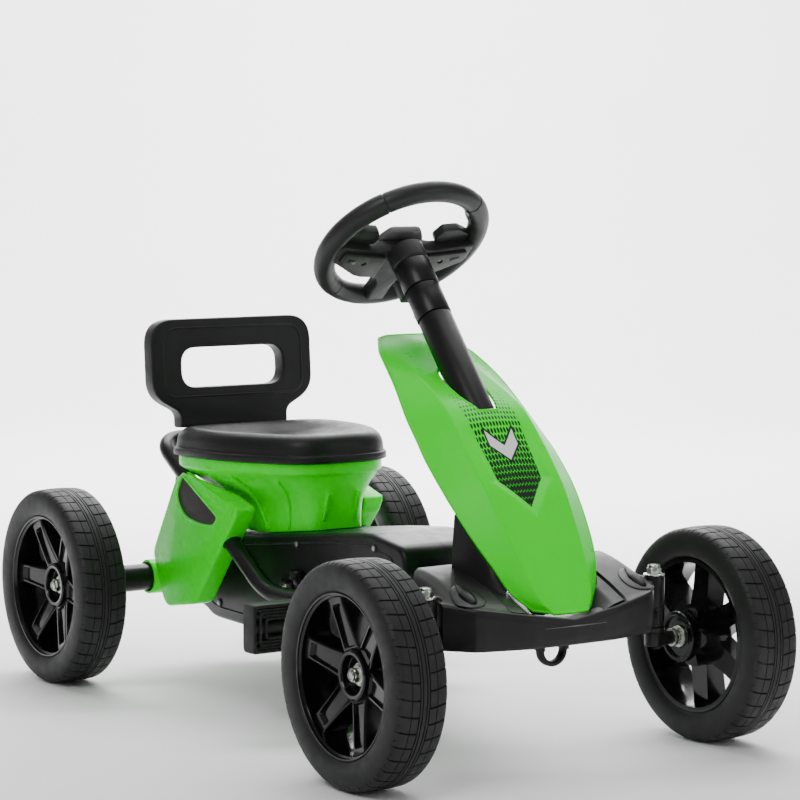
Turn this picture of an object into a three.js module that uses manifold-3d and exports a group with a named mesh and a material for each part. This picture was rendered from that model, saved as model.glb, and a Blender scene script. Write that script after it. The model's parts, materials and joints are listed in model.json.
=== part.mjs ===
// Child's pedal go kart: four foam-tyred wheels, tubular steel frame, moulded
// covers, chain drive to the rear axle and a linkage-steered front axle.
// Millimetres. +X forward, +Y to the driver's left, +Z up.
// All stations below are measured from the rear axle; the outer group moves
// them so that x = 0 lies midway between the axles.
import * as THREE from 'three';
import { mergeVertices } from 'three/addons/utils/BufferGeometryUtils.js';
import Module from 'manifold-3d';

const wasm = await Module();
wasm.setup();

// ---------------------------------------------------------------- dimensions
const WHEELBASE = 735;
const WHEEL_R = 125;            // tyre outside radius
const TYRE_HALF = 32.75;        // half the tyre's width
const TYRE_BORE = 91;
const RIM_R = 90.7;             // rim barrel outside radius
const RIM_IN = 84.5;
const TRACK_F = 239;            // wheel centre plane, front
const TRACK_R = 234;            // wheel centre plane, rear
const AXLE_Z = WHEEL_R;
const GAP = 0.3;

const KING_X = 735, KING_Y = 157;        // kingpin axis
const SLEEVE_Z0 = 141, SLEEVE_Z1 = 199;    // kingpin sleeve on the axle beam
const SLEEVE_R = 12.5;
const KING_R = 6;

const STEER_X = 445, STEER_Z = 574;        // centre of the steering wheel
const STEER_TILT = 40;                     // column axis, degrees from vertical
const WHEEL_RING_R = 98, WHEEL_RING_TUBE = 13;
const COLUMN_R = 20.5;
const SHAFT_R = 9;
const PITMAN_T = 448, PITMAN_A = 36;       // arm station down the column, and its length
const ARM_B = 36;                          // steering arm length on each knuckle

const TUBE_R = 11;                         // frame loop tube
const TUBE_Y = 95;
const SPINE_Y = 14, SPINE_Z0 = 150, SPINE_Z1 = 174;

const CRANK_X = 335, CRANK_Z = 122, CRANK_THROW = 80;
const CRANK_R = 6;
const CRANK_ANGLE = 1;                    // right pedal, degrees above forward
const CHAIN_Y = -36;
const REAR_TEETH = 11, CRANK_TEETH = 16, CHAIN_PITCH = 12.7;
const REAR_SPROCKET_R = REAR_TEETH * CHAIN_PITCH / (2 * Math.PI), CRANK_SPROCKET_R = CRANK_TEETH * CHAIN_PITCH / (2 * Math.PI);

const CASE_HALF = 60, CASE_WALL = 3;

// ------------------------------------------------------------------ materials
const mat = (color, roughness, metalness = 0) =>
  new THREE.MeshStandardMaterial({ color, roughness, metalness });
const GREEN = mat(0x2fe01a, 0.28);
const BLACK = mat(0x17181a, 0.5);
const GLOSS = mat(0x0d0e10, 0.22);
const SEAT = mat(0x1c1d20, 0.55);
const FOAM = mat(0x2b2c2e, 0.82);
const STEEL_BLACK = mat(0x141516, 0.35, 0.3);
const ZINC = mat(0xb9bcae, 0.32, 0.9);
const STEEL = mat(0x8f9499, 0.4, 0.9);
const BROWN = mat(0x2d2624, 0.7);
const LIGHTS = mat(0x08090a, 0.15);

// -------------------------------------------------------------------- helpers
const V = (x, y, z) => new THREE.Vector3(x, y, z);
const rad = THREE.MathUtils.degToRad;

function bare(geo) {
  let g = geo.index ? geo.toNonIndexed() : geo.clone();
  for (const k of Object.keys(g.attributes)) if (k !== 'position') g.deleteAttribute(k);
  g = mergeVertices(g, 1e-3);
  const p = g.attributes.position, idx = g.index.array, keep = [];
  for (let i = 0; i < idx.length; i += 3) {
    const [a, b, c] = [idx[i], idx[i + 1], idx[i + 2]];
    if (a !== b && b !== c && a !== c) keep.push(a, b, c);
  }
  let vol = 0;
  const A = V(), B = V(), C = V();
  for (let i = 0; i < keep.length; i += 3) {
    A.fromBufferAttribute(p, keep[i]); B.fromBufferAttribute(p, keep[i + 1]); C.fromBufferAttribute(p, keep[i + 2]);
    vol += A.dot(B.clone().cross(C));
  }
  if (vol < 0) for (let i = 0; i < keep.length; i += 3) [keep[i + 1], keep[i + 2]] = [keep[i + 2], keep[i + 1]];
  g.setIndex(keep);
  return g;
}
function solid(geo) {
  const g = bare(geo);
  return new wasm.Manifold(new wasm.Mesh({
    numProp: 3,
    vertProperties: new Float32Array(g.attributes.position.array),
    triVerts: new Uint32Array(g.index.array),
  }));
}
function fromSolid(m) {
  const r = m.getMesh();
  const g = new THREE.BufferGeometry();
  g.setAttribute('position', new THREE.BufferAttribute(new Float32Array(r.vertProperties), 3));
  g.setIndex([...r.triVerts]);
  return g;
}
const join = (...geos) => fromSolid(geos.map(solid).reduce((a, b) => a.add(b)));
const cut = (geo, ...tools) => fromSolid(tools.map(solid).reduce((a, b) => a.subtract(b), solid(geo)));
const common = (a, b) => fromSolid(solid(a).intersect(solid(b)));

function box(x0, x1, y0, y1, z0, z1) {
  return new THREE.BoxGeometry(x1 - x0, y1 - y0, z1 - z0).translate((x0 + x1) / 2, (y0 + y1) / 2, (z0 + z1) / 2);
}
// Cylinder between two points.
function rod(a, b, r, seg = 20, r2 = r) {
  const d = b.clone().sub(a);
  const n = seg <= 12 ? seg : Math.round(seg * (seg < 20 ? 0.7 : 0.62));
  const g = new THREE.CylinderGeometry(r2, r, d.length(), n);
  g.applyQuaternion(new THREE.Quaternion().setFromUnitVectors(V(0, 1, 0), d.clone().normalize()));
  const m = a.clone().add(b).multiplyScalar(0.5);
  return g.translate(m.x, m.y, m.z);
}
// Ring turned about Y: outside radius, bore, and its two end stations.
function ringY(ro, ri, y0, y1, seg = 28) {
  return new THREE.LatheGeometry([
    new THREE.Vector2(ri, y0), new THREE.Vector2(ro, y0), new THREE.Vector2(ro, y1),
    new THREE.Vector2(ri, y1), new THREE.Vector2(ri, y0)], seg);
}
function lathe(points, seg) {
  return new THREE.LatheGeometry(points.map(([r, y]) => new THREE.Vector2(r, y)), Math.round(seg * 0.65));
}
// Round bar or tube swept along a smooth path.
function sweep(points, r, steps, sides = 14, tension = 0.5) {
  const path = points.isCurve ? points : new THREE.CatmullRomCurve3(points, false, 'catmullrom', tension);
  const s = new THREE.Shape();
  for (let i = 0; i < sides; i++) {
    const a = (i / sides) * Math.PI * 2;
    i ? s.lineTo(r * Math.cos(a), r * Math.sin(a)) : s.moveTo(r, 0);
  }
  s.closePath();
  return new THREE.ExtrudeGeometry(s, { steps, extrudePath: path, bevelEnabled: false, curveSegments: 1 });
}
// Straight runs joined by round bends.
function filleted(points, radius) {
  const path = new THREE.CurvePath();
  let from = points[0];
  for (let i = 1; i < points.length - 1; i++) {
    const p = points[i];
    const a = points[i - 1].clone().sub(p).normalize(), b = points[i + 1].clone().sub(p).normalize();
    const p0 = p.clone().addScaledVector(a, radius), p1 = p.clone().addScaledVector(b, radius);
    path.add(new THREE.LineCurve3(from, p0));
    path.add(new THREE.QuadraticBezierCurve3(p0, p, p1));
    from = p1;
  }
  path.add(new THREE.LineCurve3(from, points[points.length - 1]));
  const n = 6, pts = [];
  path.curves.forEach((c, i) => {
    const k = c.isLineCurve3 ? 1 : n;
    for (let j = i ? 1 : 0; j <= k; j++) pts.push(c.getPoint(j / k));
  });
  return pts;
}
// Polyline sweep with mitred joints.
function polySweep(pts, r, sides = 14) {
  const rings = [];
  let ref = null;
  for (let i = 0; i < pts.length; i++) {
    const tin = i ? pts[i].clone().sub(pts[i - 1]).normalize() : null;
    const tout = i < pts.length - 1 ? pts[i + 1].clone().sub(pts[i]).normalize() : null;
    const t = (tin && tout) ? tin.clone().add(tout).normalize() : (tin || tout);
    if (!ref) ref = Math.abs(t.z) < 0.9 ? V(0, 0, 1) : V(1, 0, 0);
    const u = ref.clone().addScaledVector(t, -ref.dot(t)).normalize();
    const v = t.clone().cross(u);
    ref = u;
    const ring = [];
    for (let k = 0; k < sides; k++) {
      const a = (k / sides) * Math.PI * 2;
      ring.push(pts[i].clone().addScaledVector(u, r * Math.cos(a)).addScaledVector(v, r * Math.sin(a)));
    }
    rings.push(ring);
  }
  return stack(rings);
}
// Closed body from rings of equal point count; both ends closed by a fan.
function stack(rings) {
  const n = rings[0].length, pos = [], idx = [];
  for (const r of rings) for (const p of r) pos.push(p.x, p.y, p.z);
  const centre = (r) => r.reduce((a, p) => a.add(p), V(0, 0, 0)).multiplyScalar(1 / n);
  for (const r of [rings[0], rings[rings.length - 1]]) { const c = centre(r); pos.push(c.x, c.y, c.z); }
  const base = rings.length * n;
  for (let i = 0; i < rings.length - 1; i++) for (let k = 0; k < n; k++) {
    const a = i * n + k, b = i * n + (k + 1) % n, c = a + n, d = b + n;
    idx.push(a, b, d, a, d, c);
  }
  for (let k = 0; k < n; k++) {
    idx.push(base, (k + 1) % n, k);
    const o = (rings.length - 1) * n;
    idx.push(base + 1, o + k, o + (k + 1) % n);
  }
  const g = new THREE.BufferGeometry();
  g.setAttribute('position', new THREE.Float32BufferAttribute(pos, 3));
  g.setIndex(idx);
  return g;
}
// Sheet of the given thickness from a grid of points, thickened along -normal.
function sheet(grid, thick, flip = false) {
  const R = grid.length, C = grid[0].length, pos = [], idx = [];
  const at = (i, j) => grid[Math.min(R - 1, Math.max(0, i))][Math.min(C - 1, Math.max(0, j))];
  const normals = grid.map((row, i) => row.map((p, j) => {
    const du = at(i + 1, j).clone().sub(at(i - 1, j)), dv = at(i, j + 1).clone().sub(at(i, j - 1));
    const n = du.cross(dv).normalize();
    return flip ? n.negate() : n;
  }));
  for (let i = 0; i < R; i++) for (let j = 0; j < C; j++) pos.push(...grid[i][j].toArray());
  for (let i = 0; i < R; i++) for (let j = 0; j < C; j++)
    pos.push(...grid[i][j].clone().addScaledVector(normals[i][j], -thick).toArray());
  const N = R * C, id = (i, j, s) => s * N + i * C + j;
  const quad = (a, b, c, d) => idx.push(a, b, c, a, c, d);
  for (let i = 0; i < R - 1; i++) for (let j = 0; j < C - 1; j++) {
    quad(id(i, j, 0), id(i + 1, j, 0), id(i + 1, j + 1, 0), id(i, j + 1, 0));
    quad(id(i, j, 1), id(i, j + 1, 1), id(i + 1, j + 1, 1), id(i + 1, j, 1));
  }
  for (let j = 0; j < C - 1; j++) {
    quad(id(0, j, 0), id(0, j + 1, 0), id(0, j + 1, 1), id(0, j, 1));
    quad(id(R - 1, j + 1, 0), id(R - 1, j, 0), id(R - 1, j, 1), id(R - 1, j + 1, 1));
  }
  for (let i = 0; i < R - 1; i++) {
    quad(id(i + 1, 0, 0), id(i, 0, 0), id(i, 0, 1), id(i + 1, 0, 1));
    quad(id(i, C - 1, 0), id(i + 1, C - 1, 0), id(i + 1, C - 1, 1), id(i, C - 1, 1));
  }
  const g = new THREE.BufferGeometry();
  g.setAttribute('position', new THREE.Float32BufferAttribute(pos, 3));
  g.setIndex(idx);
  return g;
}
// Flat outline in X-Z, extruded along Y between two stations.
function plateY(outline, y0, y1, holes = []) {
  const s = outline instanceof THREE.Shape ? outline : new THREE.Shape(outline.map(([x, z]) => new THREE.Vector2(x, z)));
  for (const h of holes) s.holes.push(new THREE.Path(h.map(([x, z]) => new THREE.Vector2(x, z))));
  const g = new THREE.ExtrudeGeometry(s, { depth: y1 - y0, bevelEnabled: false, curveSegments: 6 });
  // shape X,Y,depth -> X, Z, -Y
  g.rotateX(Math.PI / 2);
  return g.translate(0, y1, 0);
}
// Flat outline in X-Y, extruded along Z.
function plateZ(outline, z0, z1) {
  const s = new THREE.Shape(outline.map(([x, y]) => new THREE.Vector2(x, y)));
  return new THREE.ExtrudeGeometry(s, { depth: z1 - z0, bevelEnabled: false }).translate(0, 0, z0);
}
function roundPoly(points, r, n = 4) {
  const out = [];
  const N = points.length;
  for (let i = 0; i < N; i++) {
    const p = new THREE.Vector2(...points[i]);
    const a = new THREE.Vector2(...points[(i + N - 1) % N]).sub(p), b = new THREE.Vector2(...points[(i + 1) % N]).sub(p);
    const rr = Math.min(points[i][2] ?? r, a.length() * 0.45, b.length() * 0.45);
    const p0 = p.clone().add(a.clone().setLength(rr)), p1 = p.clone().add(b.clone().setLength(rr));
    for (let k = 0; k <= n; k++) {
      const t = k / n, q = p0.clone().multiplyScalar((1 - t) ** 2).add(p.clone().multiplyScalar(2 * t * (1 - t))).add(p1.clone().multiplyScalar(t * t));
      out.push([q.x, q.y]);
    }
  }
  return out;
}
function insetPoly(points, d) {
  // Offset of a counter-clockwise or clockwise outline towards its inside.
  const N = points.length;
  let area = 0;
  for (let i = 0; i < N; i++) { const a = points[i], b = points[(i + 1) % N]; area += a[0] * b[1] - a[1] * b[0]; }
  const s = area > 0 ? 1 : -1;
  return points.map((p, i) => {
    const a = points[(i + N - 1) % N], b = points[(i + 1) % N];
    const n1 = new THREE.Vector2(-(p[1] - a[1]), p[0] - a[0]).normalize().multiplyScalar(s);
    const n2 = new THREE.Vector2(-(b[1] - p[1]), b[0] - p[0]).normalize().multiplyScalar(s);
    const m = n1.clone().add(n2); const k = d * 2 / Math.max(0.6, m.lengthSq());
    return [p[0] + m.x * k, p[1] + m.y * k];
  });
}
const mirrorY = (geo) => {
  const g = bare(geo);
  g.scale(1, -1, 1);
  return bare(g);
};
const hexRod = (a, b, af) => rod(a, b, af / Math.sqrt(3), 6);

// ---------------------------------------------------------------------- group
const kart = new THREE.Group();
kart.position.x = -WHEELBASE / 2;
function add(name, geo, material, parent = kart) {
  const m = new THREE.Mesh(bare(geo), material);
  m.name = name;
  parent.add(m);
  return m;
}
const sides = [['right', -1], ['left', 1]];
// Makes a piece for the driver's left and its mirror image on the right.
function pair(prefix, geoLeft, material, suffix = '') {
  add(`${prefix}_left${suffix}`, geoLeft, material);
  add(`${prefix}_right${suffix}`, mirrorY(geoLeft), material);
}

// --------------------------------------------------------------------- wheels
// Local frame of a wheel: axis along Y, +Y outboard on the left side.
function tyre() {
  const h = TYRE_HALF;
  return lathe([[TYRE_BORE, -27], [96, -30.5], [108, -h], [119.5, -25.5], [124.2, -13], [WHEEL_R, -4],
    [WHEEL_R, 4], [124.2, 13], [119.5, 25.5], [108, h], [96, 30.5], [TYRE_BORE, 27], [TYRE_BORE, -27]], 43);
}
function rim(phase) {
  let m = solid(lathe([[RIM_IN, -28.5], [RIM_R, -28.5], [RIM_R, 28.5], [RIM_IN, 28.5], [82.5, -4], [RIM_IN, -28.5]], 43));
  m = m.add(solid(lathe([[0, -48], [29, -48], [33.5, 0], [27, 14], [0, 14], [0, -48]], 25)));
  for (let i = 0; i < 6; i++) {
    // box spoke that rises towards the rim on the outboard side
    const s = stack([
      [V(24, -14, -17), V(24, 6, -17), V(24, 6, 17), V(24, -14, 17)].map((p) => p),
      [V(85.5, -11, -12), V(85.5, 16, -12), V(85.5, 16, 12), V(85.5, -11, 12)],
    ]);
    s.rotateY(i * Math.PI / 3 + rad(phase));
    m = m.add(solid(s));
  }
  m = m.subtract(solid(rod(V(0, 4, 0), V(0, 20, 0), 21, 24)));
  m = m.subtract(solid(rod(V(0, -60, 0), V(0, -44, 0), 24, 24)));
  m = m.subtract(solid(rod(V(0, -60, 0), V(0, 20, 0), 13.4, 20)));
  return fromSolid(m);
}
const bush = () => lathe([[6.6, -47], [12.7, -47], [12.7, 3.6], [6.6, 3.6], [6.6, -47]], 24);
const lockNut = () => {
  // flange, hexagon and domed insert of an M10 lock nut
  const f = rod(V(0, 4.3, 0), V(0, 6.3, 0), 11, 20);
  const h = hexRod(V(0, 5.5, 0), V(0, 13, 0), 15);
  const d = rod(V(0, 12, 0), V(0, 15.5, 0), 6.8, 16, 5.6);
  return cut(join(f, h, d), rod(V(0, 0, 0), V(0, 20, 0), 5.3, 16));
};
function wheelSet(tag, x, y, s, phase, withBush = true) {
  const place = (g) => { const q = s > 0 ? bare(g) : mirrorY(g); return q.translate(x, y, AXLE_Z); };
  add(`tyre_${tag}`, place(tyre()), FOAM);
  add(`wheel_rim_${tag}`, place(rim(phase)), GLOSS);
  if (withBush) add(`hub_bearing_${tag}`, place(bush()), ZINC);
  add(`wheel_nut_${tag}`, place(lockNut()), ZINC);
}
wheelSet('front_left', KING_X, TRACK_F, 1, 30);
wheelSet('front_right', KING_X, -TRACK_F, -1, -13);
wheelSet('rear_left', 0, TRACK_R, 1, 30);
wheelSet('rear_right', 0, -TRACK_R, -1, -5, false);

// ----------------------------------------------------------------- rear axle
add('rear_axle_shaft', join(
  rod(V(0, -TRACK_R - 12, AXLE_Z), V(0, TRACK_R + 12, AXLE_Z), 5, 16),
  rod(V(0, -TRACK_R + 44, AXLE_Z), V(0, TRACK_R - 49, AXLE_Z), 8.5, 20),
  rod(V(0, -TRACK_R - 3.5, AXLE_Z), V(0, -TRACK_R + 49, AXLE_Z), 12.6, 20),
  rod(V(0, TRACK_R - 50, AXLE_Z), V(0, TRACK_R + 3.5, AXLE_Z), 6.3, 20)), STEEL);

function sprocket(r, teeth, x, z, bore) {
  const s = new THREE.Shape();
  for (let i = 0; i < teeth; i++) {
    for (const [f, rr] of [[-0.3, r - 3.4], [0, r + 2.6]]) {
      const a = (i + f) / teeth * Math.PI * 2;
      const p = [rr * Math.cos(a), rr * Math.sin(a)];
      (i === 0 && f < 0) ? s.moveTo(...p) : s.lineTo(...p);
    }
  }
  s.closePath();
  let m = solid(plateY(s, CHAIN_Y - 1.5, CHAIN_Y + 1.5));
  m = m.add(solid(rod(V(0, CHAIN_Y - 6, 0), V(0, CHAIN_Y + 6, 0), bore + 6, 20)));
  m = m.subtract(solid(rod(V(0, CHAIN_Y - 20, 0), V(0, CHAIN_Y + 20, 0), bore, 20)));
  return fromSolid(m).translate(x, 0, z);
}
add('rear_sprocket', sprocket(REAR_SPROCKET_R, REAR_TEETH, 0, AXLE_Z, 8.8), STEEL);

// ------------------------------------------------------------- crank, pedals
const ca = rad(CRANK_ANGLE);
const pinR = V(CRANK_X + CRANK_THROW * Math.cos(ca), 0, CRANK_Z + CRANK_THROW * Math.sin(ca));
const pinL = V(2 * CRANK_X - pinR.x, 0, 2 * CRANK_Z - pinR.z);
const PED_Y0 = 121, PED_Y1 = 196;
{
  const c = (y) => V(CRANK_X, y, CRANK_Z);
  const at = (p, y) => V(p.x, y, p.z);
  add('crank_shaft', join(
    rod(c(-113), c(113), CRANK_R, 16),
    rod(c(-118), c(-109), 10, 20), rod(c(109), c(118), 10, 20),
    rod(at(pinR, -118), at(pinR, -109), 9, 20), rod(at(pinL, 109), at(pinL, 118), 9, 20),
    stackBar(c(-113.5), at(pinR, -113.5), 14, 8), stackBar(c(113.5), at(pinL, 113.5), 14, 8),
    rod(at(pinR, -112), at(pinR, -192), 5, 14), rod(at(pinL, 112), at(pinL, 192), 5, 14)), STEEL_BLACK);
}
function stackBar(a, b, w, t) {
  const d = b.clone().sub(a).normalize(), n = V(-d.z, 0, d.x).multiplyScalar(w / 2), h = V(0, t / 2, 0);
  const ring = (p) => [p.clone().add(n).add(h), p.clone().sub(n).add(h), p.clone().sub(n).sub(h), p.clone().add(n).sub(h)];
  return stack([ring(a), ring(b)]);
}
add('crank_sprocket', sprocket(CRANK_SPROCKET_R, CRANK_TEETH, CRANK_X, CRANK_Z, CRANK_R + GAP), STEEL);
function pedal() {
  // upright block with rounded corners, thin walls and cross ribs
  const outline = roundPoly([[-13, -29], [13, -29], [13, 29], [-13, 29]], 7);
  const body = plateY(outline, PED_Y0, PED_Y1);
  return cut(body, rod(V(0, PED_Y0 - 5, 0), V(0, PED_Y1 - 2.5, 0), 5.4, 14));
}
add('pedal_left', pedal().translate(pinL.x, 0, pinL.z), BLACK);
add('pedal_right', mirrorY(pedal()).translate(pinR.x, 0, pinR.z), BLACK);

// ---------------------------------------------------------------- drive chain
{
  const d = CRANK_X, r1 = REAR_SPROCKET_R, r2 = CRANK_SPROCKET_R, dz = CRANK_Z - AXLE_Z;
  const band = (o) => {
    const base = Math.atan2(dz, d), L = Math.hypot(d, dz), g = Math.acos((r1 - r2) / L);
    const pts = [];
    for (let i = 0; i <= 14; i++) {
      const a = base + g + (2 * Math.PI - 2 * g) * (i / 14);
      pts.push([(r1 + o) * Math.cos(a), AXLE_Z + (r1 + o) * Math.sin(a)]);
    }
    for (let i = 0; i <= 14; i++) {
      const a = base - g + 2 * g * (i / 14);
      pts.push([CRANK_X + (r2 + o) * Math.cos(a), CRANK_Z + (r2 + o) * Math.sin(a)]);
    }
    return pts;
  };
  add('drive_chain', plateY(band(6.2), CHAIN_Y - 4, CHAIN_Y + 4, [band(3.1)]), STEEL);
}

// ----------------------------------------------------------------- main frame
// Seat loop: up from the front axle, over the axle and round behind the seat.
const loopHalf = [
  V(722 - GAP, 38, 151), V(640, 42, 150), V(420, 90, 142), V(284, TUBE_Y, 141),
  V(4, TUBE_Y - 3, 306), V(4, -TUBE_Y + 3, 306), V(284, -TUBE_Y, 141), V(420, -90, 142), V(640, -42, 150), V(722 - GAP, -38, 151)];
{
  const path = [];
  const radii = [0, 30, 40, 30, 34, 34, 30, 40, 30, 0];
  let out = [loopHalf[0]];
  for (let i = 1; i < loopHalf.length - 1; i++) {
    const p = loopHalf[i], a = loopHalf[i - 1].clone().sub(p).normalize(), b = loopHalf[i + 1].clone().sub(p).normalize();
    const p0 = p.clone().addScaledVector(a, radii[i]), p1 = p.clone().addScaledVector(b, radii[i]);
    for (let k = 0; k <= 3; k++) out.push(new THREE.QuadraticBezierCurve3(p0, p, p1).getPoint(k / 3));
  }
  out.push(loopHalf[loopHalf.length - 1]);
  add('frame_loop_tube', polySweep(out, TUBE_R, 10), STEEL_BLACK);
}
// Square spine tube with the crank hanger welded under it.
{
  const wall = 2.5;
  let m = solid(box(-26, 722 - GAP, -SPINE_Y, SPINE_Y, SPINE_Z0, SPINE_Z1));
  m = m.add(solid(box(CRANK_X - 14, CRANK_X + 14, -SPINE_Y, SPINE_Y, CRANK_Z - 14, SPINE_Z0 + 2)));
  m = m.add(solid(box(-20, 20, -SPINE_Y, SPINE_Y, AXLE_Z - 18, SPINE_Z0 + 2)));
  m = m.subtract(solid(box(-40, 760, -SPINE_Y + wall, SPINE_Y - wall, SPINE_Z0 + wall, SPINE_Z1 - wall)));
  m = m.subtract(solid(rod(V(CRANK_X, -40, CRANK_Z), V(CRANK_X, 40, CRANK_Z), CRANK_R + 0.5, 20)));
  m = m.subtract(solid(rod(V(0, -40, AXLE_Z), V(0, 40, AXLE_Z), 9.2, 20)));
  add('spine_tube', fromSolid(m), STEEL_BLACK);
}
// Rear axle housings with the stay plates that carry the seat loop.
{
  const y0 = CASE_HALF + GAP, y1 = TRACK_R - 50;
  let m = solid(rod(V(0, y0, AXLE_Z), V(0, y1, AXLE_Z), 17.5, 28));
  const stay = plateY(roundPoly([[-22, 104], [24, 104], [62, 244], [34, 266], [14, 262]], 10), 70, 75);
  m = m.add(solid(stay));
  m = m.subtract(solid(rod(V(0, y0 - 5, AXLE_Z), V(0, y1 + 5, AXLE_Z), 13, 24)));
  pair('rear_axle_housing', fromSolid(m), STEEL_BLACK);
  add('axle_bush_left', lathe([[8.9, 166], [12.7, 166], [12.7, 184], [8.9, 184], [8.9, 166]], 24).translate(0, 0, AXLE_Z), STEEL);
  add('axle_bush_right', lathe([[8.9, -184], [12.7, -184], [12.7, -166], [8.9, -166], [8.9, -184]], 24).translate(0, 0, AXLE_Z), STEEL);
}
// Front axle beam with its two kingpin sleeves.
{
  let m = solid(box(KING_X - 12, KING_X + 12, -KING_Y, KING_Y, 142, 162));
  for (const s of [-1, 1]) {
    m = m.add(solid(rod(V(KING_X, s * KING_Y, SLEEVE_Z0), V(KING_X, s * KING_Y, SLEEVE_Z1), SLEEVE_R, 24)));
  }
  for (const s of [-1, 1]) {
    m = m.subtract(solid(rod(V(KING_X, s * KING_Y, SLEEVE_Z0 - 5), V(KING_X, s * KING_Y, SLEEVE_Z1 + 5), KING_R + 0.6, 20)));
  }
  add('front_axle_beam', fromSolid(m), STEEL_BLACK);
}

// ------------------------------------------------------------ steering column
// Local frame of the column: +Z up the column to the driver, +X to the top of
// the wheel, origin at the centre of the steering wheel.
const column = new THREE.Group();
column.position.set(STEER_X, 0, STEER_Z);
column.rotation.y = -rad(STEER_TILT);
kart.add(column);
const HEAD_T0 = 112, HEAD_T1 = 256;
const onAxis = (t) => V(STEER_X + Math.sin(rad(STEER_TILT)) * t, 0, STEER_Z - Math.cos(rad(STEER_TILT)) * t);
{
  // Head tube, with the post that carries it on the spine.
  const a = onAxis(HEAD_T0), b = onAxis(HEAD_T1);
  let m = solid(rod(b, a, COLUMN_R, 32));
  const foot = V(600, 0, SPINE_Z1 + GAP);
  m = m.add(solid(box(584, 616, -13, 13, SPINE_Z1 + GAP, SPINE_Z1 + 6)));
  m = m.add(solid(rod(V(600, 0, SPINE_Z1 + 2), onAxis(224), 12, 20)));
  m = m.subtract(solid(rod(onAxis(HEAD_T1 + 10), onAxis(HEAD_T0 - 10), COLUMN_R - 2.5, 28)));
  add('steering_head_tube', fromSolid(m), STEEL_BLACK);
  const bushG = (t0, t1) => lathe([[SHAFT_R + GAP, -t1], [COLUMN_R - 2.5 - GAP, -t1], [COLUMN_R - 2.5 - GAP, -t0], [SHAFT_R + GAP, -t0], [SHAFT_R + GAP, -t1]], 28).rotateX(Math.PI / 2);
  add('head_bush_upper', bushG(HEAD_T0 + 2, HEAD_T0 + 16), BLACK, column);
  add('head_bush_lower', bushG(HEAD_T1 - 16, HEAD_T1 - 2), BLACK, column);
}
const tubeZ = (ro, ri, t0, t1, seg = 32) =>
  lathe([[ri, -t1], [ro, -t1], [ro, -t0], [ri, -t0], [ri, -t1]], seg).rotateX(Math.PI / 2);
add('steering_shaft', rod(V(0, 0, -PITMAN_T - 9), V(0, 0, -26), SHAFT_R, 20), STEEL, column);
const HUB_BOLT_T = 52, COLLAR_BOLT_T = 88;
add('wheel_hub_sleeve', cut(tubeZ(22, SHAFT_R + GAP, 34, 69.5), rod(V(-40, 0, -HUB_BOLT_T), V(40, 0, -HUB_BOLT_T), 3.4, 12)), BLACK, column);
add('column_collar', cut(tubeZ(21.2, SHAFT_R + GAP, 70.5, 111), rod(V(-40, 0, -COLLAR_BOLT_T), V(40, 0, -COLLAR_BOLT_T), 3.4, 12)), BLACK, column);
{
  // wheel: round rim, broad bar across, lower fork down to the rim, hub
  let m = solid(new THREE.TorusGeometry(WHEEL_RING_R, WHEEL_RING_TUBE, 10, 30));
  const bar = plateZ(roundPoly([[12, -93], [2, -40], [6, -22], [6, 22], [2, 40], [12, 93], [-16, 94], [-44, 52], [-48, 22], [-60, 12], [-92, 12], [-92, -12], [-60, -12], [-48, -22], [-44, -52], [-16, -94]], 5, 2), -14, 3);
  m = m.add(solid(bar));
  m = m.add(solid(rod(V(0, 0, -33.5), V(0, 0, 0), 24, 28)));
  m = m.subtract(solid(rod(V(0, 0, -40), V(0, 0, -25), SHAFT_R + GAP, 20)));
  add('steering_wheel', fromSolid(m), BLACK, column);
  add('wheel_centre_pad', plateZ(roundPoly([[4, -30], [20, -20], [20, 20], [4, 30], [-26, 36], [-38, 20], [-38, -20], [-26, -36]], 5, 2), 3.3, 13), BLACK, column);
}
// The shaft is cross-bolted to the hub sleeve and to the collar below it.
const bolt = (t) => join(
  hexRod(V(-29, 0, -t), V(-23, 0, -t), 10),
  rod(V(-23.6, 0, -t), V(-22.3, 0, -t), 7, 16));
add('hub_bolt', bolt(HUB_BOLT_T), ZINC, column);
add('collar_bolt', bolt(COLLAR_BOLT_T), ZINC, column);
// Drop arm at the foot of the shaft, with the two tie rod eyes side by side.
{
  let m = solid(rod(V(0, 0, -PITMAN_T - 8), V(0, 0, -PITMAN_T + 8), 14, 22));
  m = m.add(solid(plateZ(roundPoly([[0, -12], [-PITMAN_A, -17], [-PITMAN_A - 9, -10], [-PITMAN_A - 9, 10], [-PITMAN_A, 17], [0, 12]], 4, 2), -PITMAN_T - 3, -PITMAN_T + 3)));
  m = m.subtract(solid(rod(V(0, 0, -PITMAN_T - 20), V(0, 0, -PITMAN_T + 20), SHAFT_R + GAP, 20)));
  for (const s of [-1, 1]) m = m.subtract(solid(rod(V(-PITMAN_A, s * 10, -PITMAN_T - 9), V(-PITMAN_A, s * 10, -PITMAN_T + 9), 4.2, 14)));
  add('pitman_arm', fromSolid(m), STEEL_BLACK, column);
}

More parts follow.
